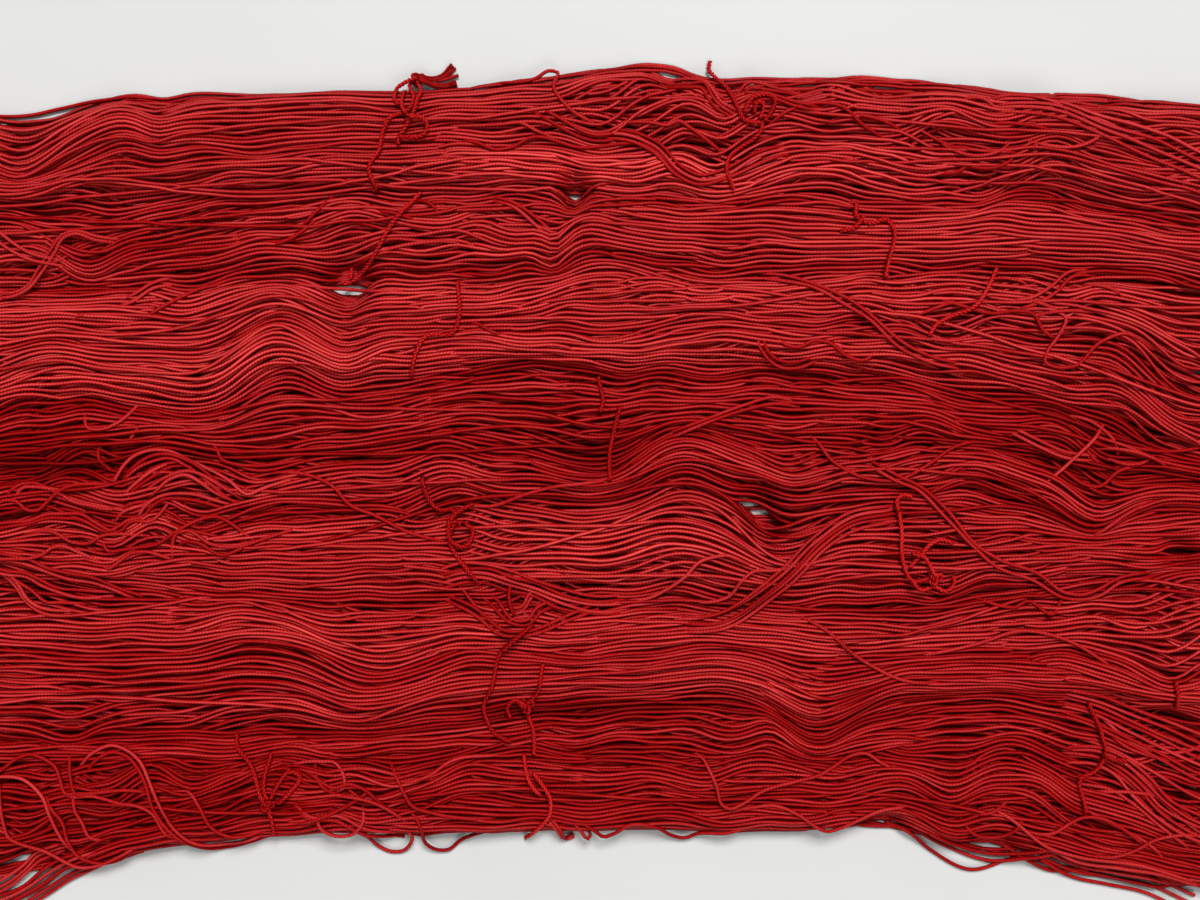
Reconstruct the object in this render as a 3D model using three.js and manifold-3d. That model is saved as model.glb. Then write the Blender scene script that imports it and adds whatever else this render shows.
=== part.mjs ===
// A skein of plied sock yarn, opened out and laid flat. Its strands run along x and turn back at both
// ends, and cut lengths of the same yarn tie them into lobes that lie side by side.

import * as THREE from 'three';
import { mergeVertices } from 'three/addons/utils/BufferGeometryUtils.js';
import Module from 'manifold-3d';

// Driving sizes, in millimetres.
const HALF_LENGTH = 340; // half of the flattened loop
const FINE_REACH = 190; // sections stand closer together up to here
const FINE_STEP = 7.5; // between sections where the lobes wave
const COARSE_STEP = 15; // between sections towards the loop ends
const FACES_A_LOBE = 4; // across each lobe
const BASE_INSET = 1.5; // from the outline in to the flat base
const MIDDLE = -9; // sideways place that the loop ends are round about
const HALF_WIDTH = 124;
const TAPER = 0.12; // share of the width lost towards the loop ends
const END_BOW = 62; // how much shorter the outermost strands are at a loop end
const END_POWER = 3.4; // squareness of that rounding
const NOSE_ROUND = 13; // length over which the thickness rounds at a loop end
const NOSE_CLOSE = 0.93; // share of that length that is built
const CROWN_POWER = 2.2; // roundness of a lobe
const TIE_WIDTH = 1.6; // thickness of a tie
const TIE_GAP = 0.35; // between a tie and the lobes under it
const TIE_STEP = 3; // between the points that a tie is laid through
const TIE_SIDES = 8;
const PINCH_DEPTH = 1.6; // how far a tie draws a lobe down
const PINCH_REACH = 6; // how far that is felt to each side
const KNOT_RADIUS = 2.3;

// A row for each groove from the far edge to the near edge: its sideways place at the marks along the
// skein, the height of its floor, and the height of the lobe that follows it.
const MARKS = [-225, -180, -135, -90, -45, 0, 45, 90, 135, 180, 225];
const GROOVES = [
  { at: [106.5, 104, 106.8, 109.8, 111, 116, 114.4, 113.7, 108.6, 106.5, 104], floor: 2.2, crown: 9.5 },
  { at: [87, 88, 90, 90.5, 91.5, 92, 93, 93, 90.5, 86, 82], floor: 8.0, crown: 11.5 },
  { at: [70, 73, 74.5, 77.5, 79, 78.5, 77.5, 75.5, 76.5, 69, 62], floor: 7.0, crown: 12.0 },
  { at: [44, 46, 50, 50.5, 51.6, 54, 53, 53.5, 55, 52, 48], floor: 5.5, crown: 12.0 },
  { at: [29, 30, 32, 35, 36.2, 37, 38.5, 38, 32, 21, 13], floor: 10.0, crown: 13.0 },
  { at: [9, 10, 14, 20, 22, 23, 25, 20.5, 13, -3, -9], floor: 6.0, crown: 11.0 },
  { at: [-9, -8, -5.6, -2, -0.2, 1, 1.5, 0.5, -1.5, -9, -16], floor: 7.5, crown: 12.5 },
  { at: [-21, -21, -20.4, -19, -16.2, -14, -14.9, -15, -17.5, -17, -23], floor: 9.5, crown: 13.5 },
  { at: [-41, -42, -43.2, -45, -45.6, -46, -47.6, -48, -43, -38, -38], floor: 7.0, crown: 12.5 },
  { at: [-61, -61, -60.6, -60, -59.9, -60, -60.6, -62, -60.5, -66, -69], floor: 10.0, crown: 12.5 },
  { at: [-87, -88, -87.7, -86, -81.4, -77, -76.1, -75.5, -74.5, -82, -90], floor: 5.5, crown: 9.0 },
  { at: [-93, -93, -93.6, -94, -93, -92, -91.6, -92, -94, -113, -124], floor: 6.0, crown: 10.5 },
  { at: [-111, -110, -108.8, -107, -105.8, -105, -104, -105, -112, -122, -132], floor: 8.0, crown: 8.5 },
  { at: [-136, -130, -123, -118, -118, -117, -117, -116.5, -123.5, -133.5, -139], floor: 2.2, crown: 0 },
];

// A row for each place where the strands swing sideways: where it is, how far they swing, and how far
// along and across that is felt.
const SWELLS = [
  { x: -175, y: 92, shift: -8, along: 15, across: 13 },
  { x: -146, y: 99, shift: 2, along: 9, across: 12 },
  { x: -133.5, y: 98, shift: -1.8, along: 6, across: 12 },
  { x: 15, y: 117, shift: 2.5, along: 10, across: 7 },
  { x: 36, y: 84, shift: -6, along: 11, across: 9 },
  { x: 38, y: 104, shift: -3, along: 6, across: 6 },
  { x: -163, y: 22, shift: 4.2, along: 14, across: 16 },
  { x: -120, y: 22, shift: -4.8, along: 15, across: 16 },
  { x: -97, y: 30, shift: 6, along: 12, across: 15 },
  { x: -77, y: 33, shift: -3, along: 9, across: 12 },
  { x: -24, y: 22, shift: 3.9, along: 15, across: 12 },
  { x: 1, y: -1, shift: -4.2, along: 13, across: 11 },
  { x: 27, y: -12, shift: 7.2, along: 18, across: 18 },
  { x: 57, y: -21, shift: -7.8, along: 14, across: 14 },
  { x: 67, y: -75, shift: -9.6, along: 14, across: 13 },
  { x: 34, y: -69, shift: 2.4, along: 13, across: 12 },
  { x: 147, y: -13, shift: -8.4, along: 12, across: 11 },
  { x: 117, y: -9, shift: 2.4, along: 13, across: 12 },
  { x: -115, y: -75, shift: 3.6, along: 27, across: 13 },
  { x: -67, y: -64, shift: -4.8, along: 16, across: 15 },
  { x: -13, y: 68, shift: -4.5, along: 6.5, across: 11 },
  { x: 92, y: 8, shift: 4.5, along: 14, across: 12 },
  { x: -130, y: -9, shift: 5.4, along: 13, across: 11 },
  { x: -147, y: -31, shift: -2.4, along: 9, across: 8 },
  { x: 135, y: 85, shift: 3, along: 18, across: 12 },
  { x: 114, y: -118, shift: -2.4, along: 15, across: 9 },
  { x: 150, y: -93, shift: 4, along: 10, across: 9 },
];

// Each tie as it lies over the lobes, end to end, and the point of its route that carries a knot.
const TIES = {
  tie_far_left: { knot: 2, route: [[-44, 116], [-50, 115], [-56, 113], [-57, 108], [-60, 101],
    [-64, 97], [-66, 90], [-69, 84], [-67, 78]] },
  tie_second_left: { route: [[-54, 77], [-58, 71], [-63, 64], [-69, 56], [-76, 51]] },
  tie_far_middle: { knot: 3, route: [[34, 119], [37, 111], [42, 102], [48, 99], [48, 96], [43, 92],
    [39, 88], [38, 84], [40, 78]] },
  tie_second_right: { route: [[77, 74], [77, 70], [81, 68], [86, 69], [88, 66], [87, 58], [86, 52]] },
  tie_third_left: { route: [[-43, 51], [-42, 41], [-44, 35], [-52, 34], [-55, 29], [-57, 22]] },
  tie_third_right: { route: [[120, 55], [116, 48], [112, 43], [105, 40], [100, 37], [98, 34]] },
  tie_centre: { route: [[6, 13], [4, 5], [3, 0], [3, -9]] },
  tie_fifth_left: { knot: 4, route: [[-53, -8], [-52, -13], [-48, -18], [-44, -18], [-44, -22],
    [-45, -27], [-43, -31], [-40, -35], [-37, -39]] },
  tie_fifth_right: { knot: 4, route: [[89, -15], [90, -24], [90, -33], [93, -39], [100, -38]] },
  tie_sixth_left: { route: [[-25, -56], [-30, -61], [-32, -70], [-35, -77], [-32, -85], [-27, -88]] },
  tie_sixth_middle: { knot: 2, route: [[-17, -64], [-19, -73], [-22, -77], [-20, -85], [-20, -92]] },
  tie_near_middle: { route: [[-20, -97], [-15, -105], [-15, -109], [-20, -116], [-23, -119]] },
  tie_near_left: { knot: 2, route: [[-99, -91], [-101, -102], [-100, -106], [-99, -112], [-99, -117]] },
  tie_near_right: { route: [[147, -76], [151, -86], [152, -91], [149, -97], [145, -99], [146, -109]] },
  tie_sixth_right: { route: [[172, -69], [172, -77]] },
};

const wasm = await Module();
wasm.setup();
const yarn = new THREE.MeshStandardMaterial({ name: 'yarn', color: 0xa8141a, roughness: 0.85 });
const tied = new THREE.MeshStandardMaterial({ name: 'tie', color: 0x8c1016, roughness: 0.85 });
const body = new THREE.Mesh(skin(stations()), yarn);
body.name = 'skein';

// Value between the marks, with the slope held smooth; past the last mark it stays level.
function along(values, x) {
  const last = MARKS.length - 1;
  if (x <= MARKS[0]) return values[0];
  if (x >= MARKS[last]) return values[last];
  const i = Math.min(last - 1, Math.floor((x - MARKS[0]) / (MARKS[1] - MARKS[0])));
  const t = (x - MARKS[i]) / (MARKS[i + 1] - MARKS[i]);
  const slopeIn = i > 0 ? (values[i + 1] - values[i - 1]) / 2 : 0;
  const slopeOut = i < last - 1 ? (values[i + 2] - values[i]) / 2 : 0;
  const t2 = t * t;
  const t3 = t2 * t;
  return (2 * t3 - 3 * t2 + 1) * values[i] + (t3 - 2 * t2 + t) * slopeIn
    + (3 * t2 - 2 * t3) * values[i + 1] + (t3 - t2) * slopeOut;
}

// Sideways swing of the strands at a place.
function swing(x, y) {
  let total = 0;
  for (const s of SWELLS) {
    total += s.shift * Math.exp(-(((x - s.x) / s.along) ** 2) - ((y - s.y) / s.across) ** 2);
  }
  return total;
}

// Share of the full width that is left at a place along the skein.
function widthShare(x) {
  return 1 - TAPER * THREE.MathUtils.smoothstep(Math.abs(x), FINE_REACH, HALF_LENGTH);
}

// Place along the skein of a strand that lies at this level, as strands are shorter towards the edges.
function bowed(x, level) {
  const out = Math.min(1, Math.abs(level - MIDDLE) / HALF_WIDTH) ** END_POWER;
  const near = THREE.MathUtils.smoothstep(Math.abs(x), FINE_REACH, HALF_LENGTH);
  return x - Math.sign(x) * END_BOW * out * near;
}

// Share of the full thickness that is left at a place along the skein.
function depthShare(x) {
  const into = Math.max(0, Math.abs(x) - (HALF_LENGTH - NOSE_ROUND)) / NOSE_ROUND;
  return Math.sqrt(1 - (into * NOSE_CLOSE) ** 2);
}

// How far the ties draw the lobes down at a place.
function pinch(x, y) {
  const here = new THREE.Vector3(x, y, 0);
  const nearest = new THREE.Vector3();
  let most = 0;
  for (const { route } of Object.values(TIES)) {
    for (let i = 1; i < route.length; i += 1) {
      const run = new THREE.Line3(new THREE.Vector3(...route[i - 1], 0), new THREE.Vector3(...route[i], 0));
      const away = run.closestPointToPoint(here, true, nearest).distanceTo(here);
      most = Math.max(most, PINCH_DEPTH * Math.exp(-((away / PINCH_REACH) ** 2)));
    }
  }
  return most;
}

// Points over the lobes at a section of the skein, from the far edge to the near edge.
function profile(section) {
  const points = [];
  const lobes = GROOVES.length - 1;
  for (let k = 0; k <= lobes; k += 1) {
    const faces = k < lobes ? FACES_A_LOBE : 1;
    for (let j = 0; j < faces; j += 1) {
      const t = j / faces;
      const next = GROOVES[Math.min(k + 1, lobes)];
      const level = THREE.MathUtils.lerp(along(GROOVES[k].at, section), along(next.at, section), t);
      const x = bowed(section, level);
      const y = MIDDLE + (level + swing(section, level) - MIDDLE) * widthShare(section);
      const floor = t < 0.5 ? GROOVES[k].floor : next.floor;
      const crown = k < lobes ? GROOVES[k].crown : floor;
      const height = crown - (crown - floor) * Math.abs(2 * t - 1) ** CROWN_POWER;
      const edge = (k === 0 && j === 0) || k === lobes;
      points.push(new THREE.Vector3(x, y, (height - (edge ? 0 : pinch(x, y))) * depthShare(section)));
    }
  }
  return points;
}

// Places along the skein where its sections stand, closer together where it waves and at the loop ends.
function stations() {
  const half = [];
  for (let x = FINE_STEP / 2; x < FINE_REACH; x += FINE_STEP) half.push(x);
  const start = half[half.length - 1];
  const stop = HALF_LENGTH - NOSE_ROUND;
  const count = Math.round((stop - start) / COARSE_STEP);
  for (let i = 1; i <= count; i += 1) half.push(start + ((stop - start) * i) / count);
  half.push(HALF_LENGTH - NOSE_ROUND * 0.4, HALF_LENGTH - NOSE_ROUND * 0.12, HALF_LENGTH);
  return [...half.map((x) => -x).reverse(), ...half];
}

// Closed skin: the upper side through the sections, a narrow wall round its rim, and the flat base.
function skin(sections) {
  const grid = sections.map(profile);
  const across = grid[0].length;
  const last = grid.length - 1;
  const index = [];
  for (let i = 0; i < last; i += 1) {
    for (let j = 0; j + 1 < across; j += 1) {
      const a = i * across + j;
      const b = a + across;
      index.push(a, a + 1, b + 1, a, b + 1, b);
    }
  }
  const rim = [];
  for (let j = 0; j < across; j += 1) rim.push(j);
  for (let i = 1; i < last; i += 1) rim.push(i * across + across - 1);
  for (let j = across - 1; j >= 0; j -= 1) rim.push(last * across + j);
  for (let i = last - 1; i > 0; i -= 1) rim.push(i * across);
  const points = grid.flat();
  const base = rim.map((at, i) => {
    const before = points[rim.at(i - 1)];
    const after = points[rim[(i + 1) % rim.length]];
    const inward = new THREE.Vector2(before.y - after.y, after.x - before.x).setLength(BASE_INSET);
    return new THREE.Vector2(points[at].x + inward.x, points[at].y + inward.y);
  });
  const start = points.length;
  for (let i = 0; i < rim.length; i += 1) {
    const next = (i + 1) % rim.length;
    index.push(rim[i], start + i, start + next, rim[i], start + next, rim[next]);
  }
  for (const [p, q, r] of THREE.ShapeUtils.triangulateShape(base, [])) {
    index.push(start + p, start + r, start + q);
  }
  const flat = base.map((p) => new THREE.Vector3(p.x, p.y, 0));
  const geometry = new THREE.BufferGeometry().setFromPoints([...points, ...flat]);
  geometry.setIndex(index);
  return geometry;
}

// Height of the skein's upper side at a place, nought beyond its outline.
function heightAt(x, y) {
  const down = new THREE.Raycaster(new THREE.Vector3(x, y, 100), new THREE.Vector3(0, 0, -1));
  const [hit] = down.intersectObject(body);
  return hit ? hit.point.z : 0;
}

// Line of a tie's middle, laid over the lobes and taut across the grooves.
function lay(route) {
  const stops = route.map(([x, y]) => new THREE.Vector3(x, y, 0));
  const plan = new THREE.CatmullRomCurve3(stops, false, 'centripetal');
  const count = Math.ceil(plan.getLength() / TIE_STEP);
  const points = plan.getSpacedPoints(count);
  const reach = TIE_WIDTH / 2;
  const heights = points.map((p) => {
    let most = 0;
    for (let i = -1; i <= 1; i += 1) {
      for (let j = -2; j <= 2; j += 1) {
        most = Math.max(most, heightAt(p.x + i * reach, p.y + j * reach));
      }
    }
    return most;
  });
  points.forEach((p, i) => {
    const before = heights[Math.max(0, i - 1)];
    const after = heights[Math.min(count, i + 1)];
    p.z = Math.max(heights[i], (before + after) / 2) + TIE_WIDTH / 2 + TIE_GAP;
  });
  return new THREE.CatmullRomCurve3(points, false, 'centripetal');
}

function toSolid(geometry) {
  const loose = geometry.index ? geometry.toNonIndexed() : geometry;
  const bare = new THREE.BufferGeometry().setAttribute('position', loose.getAttribute('position'));
  const merged = mergeVertices(bare, 1e-3);
  return new wasm.Manifold(new wasm.Mesh({
    numProp: 3,
    vertProperties: merged.getAttribute('position').array,
    triVerts: new Uint32Array(merged.index.array),
  }));
}

function toGeometry(solid) {
  const mesh = solid.getMesh();
  const geometry = new THREE.BufferGeometry();
  geometry.setAttribute('position', new THREE.Float32BufferAttribute(mesh.vertProperties, 3));
  geometry.setIndex(new THREE.Uint32BufferAttribute(mesh.triVerts, 1));
  return geometry;
}

// A tie: a round cord over the lobes, with its knot where it has one.
function tieGeometry({ route, knot }) {
  const line = lay(route);
  const rim = [];
  for (let i = 0; i < TIE_SIDES; i += 1) {
    const turn = (2 * Math.PI * i) / TIE_SIDES;
    rim.push(new THREE.Vector2(Math.cos(turn), Math.sin(turn)).multiplyScalar(TIE_WIDTH / 2));
  }
  const steps = Math.ceil(line.getLength() / TIE_STEP);
  const section = new THREE.Shape(rim);
  const cord = new THREE.ExtrudeGeometry(section, { steps, extrudePath: line, bevelEnabled: false });
  if (knot === undefined) return cord;
  const [x, y] = route[knot];
  const away = (p) => Math.hypot(p.x - x, p.y - y);
  const near = line.getSpacedPoints(steps * 4).reduce((a, b) => (away(a) < away(b) ? a : b));
  const lump = new THREE.IcosahedronGeometry(KNOT_RADIUS, 1);
  lump.translate(near.x, near.y, near.z + KNOT_RADIUS - TIE_WIDTH / 2);
  return toGeometry(toSolid(cord).add(toSolid(lump)));
}

const skein = new THREE.Group();
skein.name = 'skein_of_yarn';
skein.add(body);
for (const [name, tie] of Object.entries(TIES)) {
  const mesh = new THREE.Mesh(tieGeometry(tie), tied);
  mesh.name = name;
  skein.add(mesh);
}

export default skein;
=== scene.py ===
"""Dresses an opened skein of plied red yarn, turn by turn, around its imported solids."""
import itertools
import logging
import math
from dataclasses import dataclass, field
from enum import Enum
from typing import Iterator, Sequence

import bmesh
import bpy
import numpy as np
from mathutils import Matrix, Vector
from mathutils.bvhtree import BVHTree


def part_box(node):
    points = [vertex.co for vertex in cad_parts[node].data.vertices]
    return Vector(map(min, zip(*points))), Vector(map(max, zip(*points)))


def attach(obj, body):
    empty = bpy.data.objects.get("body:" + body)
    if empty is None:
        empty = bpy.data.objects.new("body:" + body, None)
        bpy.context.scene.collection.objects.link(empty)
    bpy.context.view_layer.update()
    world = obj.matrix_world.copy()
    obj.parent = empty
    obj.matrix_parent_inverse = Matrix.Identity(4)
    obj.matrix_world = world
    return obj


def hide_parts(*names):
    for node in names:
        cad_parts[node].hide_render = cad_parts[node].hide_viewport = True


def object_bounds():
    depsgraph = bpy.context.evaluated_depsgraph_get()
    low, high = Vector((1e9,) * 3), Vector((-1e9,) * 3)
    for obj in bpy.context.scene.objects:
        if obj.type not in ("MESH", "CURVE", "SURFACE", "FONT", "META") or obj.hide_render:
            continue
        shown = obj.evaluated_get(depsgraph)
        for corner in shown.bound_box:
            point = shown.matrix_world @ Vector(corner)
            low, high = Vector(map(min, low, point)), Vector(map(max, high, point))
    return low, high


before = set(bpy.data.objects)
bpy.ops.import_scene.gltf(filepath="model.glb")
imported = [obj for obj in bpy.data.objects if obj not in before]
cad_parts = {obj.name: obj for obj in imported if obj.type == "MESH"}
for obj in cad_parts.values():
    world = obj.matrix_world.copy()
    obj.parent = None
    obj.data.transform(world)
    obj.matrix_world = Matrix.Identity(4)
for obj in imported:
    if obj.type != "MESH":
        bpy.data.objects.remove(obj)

CAD_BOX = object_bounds()
LOG = logging.getLogger("skein")
BODY = "root"
MM = 0.001
FULL_TURN = 2.0 * math.pi
NOISE_MIDDLE = 0.5
SEED = 20
Colour = tuple[float, float, float]
Route = Sequence[tuple[float, float]]
Table = Sequence[Sequence[float]]


class Slot(Enum):
    """The record's material slots."""

    YARN = "yarn"
    TIE = "tie"


class Sheet(Enum):
    """The two families of turns that pass over and under each other, and the loose ones on top."""

    FIRST = 0
    SECOND = 1
    LOOSE = 2


@dataclass(frozen=True)
class Tie:
    """A tie as it shows, with its places in plan in mm.

    Attributes:
        route: Points along its main run.
        knot: Which of them carries the knot, if one does.
        legs: Its other runs and small loops.
        tufts: Cut ends that have opened into brushes: route, and half the width at the start and the end.
    """

    route: Route
    knot: int | None = None
    legs: Sequence[Route] = ()
    tufts: Sequence[tuple[Route, float, float]] = ()


@dataclass(frozen=True)
class Stray:
    """Strands that have slipped out of line and lie side by side across the others, in plan in mm.

    Attributes:
        route: Points along the middle of them.
        count: How many there are.
        first: Distance between them at the start.
        last: Distance between them at the end.
    """

    route: Route
    count: int = 1
    first: float = 0.0
    last: float = 0.0


# Sideways places of the grooves between the lobes, in mm, at marks along the skein, and the shade of the
# lobe that follows each, from 0, deep, to 1, bright.
MARKS = (-225, -180, -135, -90, -45, 0, 45, 90, 135, 180, 225)
GROOVES = (
    ((106.5, 104, 106.8, 109.8, 111, 116, 114.4, 113.7, 108.6, 106.5, 104), 0.55),
    ((87, 88, 90, 90.5, 91.5, 92, 93, 93, 90.5, 86, 82), 0.58),
    ((70, 73, 74.5, 77.5, 79, 78.5, 77.5, 75.5, 76.5, 69, 62), 0.54),
    ((44, 46, 50, 50.5, 51.6, 54, 53, 53.5, 55, 52, 48), 0.62),
    ((29, 30, 32, 35, 36.2, 37, 38.5, 38, 32, 21, 13), 0.58),
    ((9, 10, 14, 20, 22, 23, 25, 20.5, 13, -3, -9), 0.40),
    ((-9, -8, -5.6, -2, -0.2, 1, 1.5, 0.5, -1.5, -9, -16), 0.46),
    ((-21, -21, -20.4, -19, -16.2, -14, -14.9, -15, -17.5, -17, -23), 0.52),
    ((-41, -42, -43.2, -45, -45.6, -46, -47.6, -48, -43, -38, -38), 0.50),
    ((-61, -61, -60.6, -60, -59.9, -60, -60.6, -62, -60.5, -66, -69), 0.45),
    ((-87, -88, -87.7, -86, -81.4, -77, -76.1, -75.5, -74.5, -82, -90), 0.37),
    ((-93, -93, -93.6, -94, -93, -92, -91.6, -92, -94, -113, -124), 0.39),
    ((-111, -110, -108.8, -107, -105.8, -105, -104, -105, -112, -122, -132), 0.33),
    ((-136, -130, -123, -118, -118, -117, -117, -116.5, -123.5, -133.5, -139), 0.36),
)

# Places where the strands swing sideways, in mm: x, y, shift, reach along and reach across.
SWELLS = (
    (-175, 92, -8, 15, 13),
    (-180, 97, -5, 15, 7),
    (-184, -38, 4, 17, 5.5),
    (-184, -48, -1.5, 17, 5),
    (-178, 105, 2.4, 14, 9),
    (-136, 108, 1.8, 20, 5),
    (52, -86, 3.5, 7, 6),
    (-146, 99, 2, 9, 12),
    (-133.5, 98, -1.8, 6, 12),
    (15, 117, 2.5, 10, 7),
    (36, 84, -6, 11, 9),
    (38, 104, -3, 6, 6),
    (-163, 22, 4.2, 14, 16),
    (-120, 22, -4.8, 15, 16),
    (-97, 30, 6, 12, 15),
    (-77, 33, -3, 9, 12),
    (-24, 22, 3.9, 15, 12),
    (1, -1, -4.2, 13, 11),
    (27, -12, 7.2, 18, 18),
    (57, -21, -7.8, 14, 14),
    (67, -75, -9.6, 14, 13),
    (34, -69, 2.4, 13, 12),
    (147, -13, -8.4, 12, 11),
    (117, -9, 2.4, 13, 12),
    (-104, -61, 3.6, 19, 12),
    (-66, -60, -8, 17, 13),
    (-74, -76, -4.5, 14, 8),
    (172, -60, -4.5, 19, 8),
    (-8.5, 77, -4.4, 4, 3.6),
    (-13, 66.5, -4.6, 4.5, 4.5),
    (-14.5, 58.5, -3.8, 5, 3.5),
    (92, 8, 4.5, 14, 12),
    (-130, -9, 5.4, 13, 11),
    (-147, -31, -2.4, 9, 8),
    (135, 85, 3, 18, 12),
    (114, -118, -2.4, 15, 9),
    (150, -93, 2, 10, 9),
    (124, -92, -4, 12, 8),
    (187, 22, -7, 22, 9),
    (150, 31, 2.5, 14, 8),
    (172, -66, -3, 13, 4.5),
    (172, -79.5, 2, 12, 4),
)

# Places where the strands run out of order: x and y in mm, how much, reach along and reach across.
UNRULY = (
    (110, 98, 0.8, 70, 14),
    (20, 102, 0.7, 32, 14),
    (-140, -15, 0.9, 36, 14),
    (-165, -24, 0.6, 25, 12),
    (-20, -43, 0.6, 26, 10),
    (-150, -105, 0.8, 45, 18),
    (-70, -102, 0.7, 34, 13),
    (98, 38, 0.35, 38, 13),
    (150, 2, 0.6, 28, 14),
    (115, -108, 0.3, 65, 15),
    (100, -30, 0.4, 30, 12),
    (-60, 62, 0.4, 50, 10),
    (-165, 62, 0.5, 25, 16),
    (10, 37, 0.35, 40, 12),
    (-110, -68, -0.45, 75, 13),
    (40, -66, -0.4, 35, 12),
    (-120, 28, -0.3, 60, 14),
    (95, 62, -0.4, 60, 8),
    (25, -28, -0.25, 35, 12),
    (-60, 98, -0.2, 45, 10),
)

# Places where the red is painted deeper or brighter, partly as patches of dye and partly as painted shade in
# grooves and hollows and painted light and shade across the lobes: x and y in mm, how much, reach along and
# reach across.
SHADES = (
    (-130, 60, -0.22, 45, 7),
    (-168, -3, -0.30, 30, 9),
    (0, -4, -0.20, 22, 9),
    (150, 2, -0.14, 45, 22),
    (-130, 24, 0.16, 60, 12),
    (10, -30, 0.12, 45, 12),
    (-10, 84, 0.16, 60, 8),
    (45, -66, 0.10, 30, 10),
    (-150, -100, -0.08, 50, 18),
    (-12, -78.5, -0.34, 30, 3),
    (76, -74, -0.22, 7, 6),
    (105, -45, -0.06, 50, 30),
    (10, -28, 0.06, 30, 14),
)

# Places where the strands part and the surface under them shows, in mm: x, y, half length, half width and
# the slope along which they part.
PARTINGS = (
    (-76.3, 49.1, 5.8, 2.6, -0.12),
    (48.6, -19.2, 6.5, 2.8, -0.55),
    (-7.5, 78.5, 4, 1.5, 0.1),
    (22, 114.5, 6, 1.1, 0.0),
    (60, 111.5, 7, 0.6, 0.0),
    (87, 111, 9, 0.9, -0.1),
    (149, 106.6, 7, 0.5, -0.05),
    (174, -30.6, 6, 1.3, -0.25),
    (86, -114.2, 7, 0.6, 0.0),
    (120, -121.2, 8, 0.9, -0.1),
    (-172, -124, 9, 1.0, 0.25),
)

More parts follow.
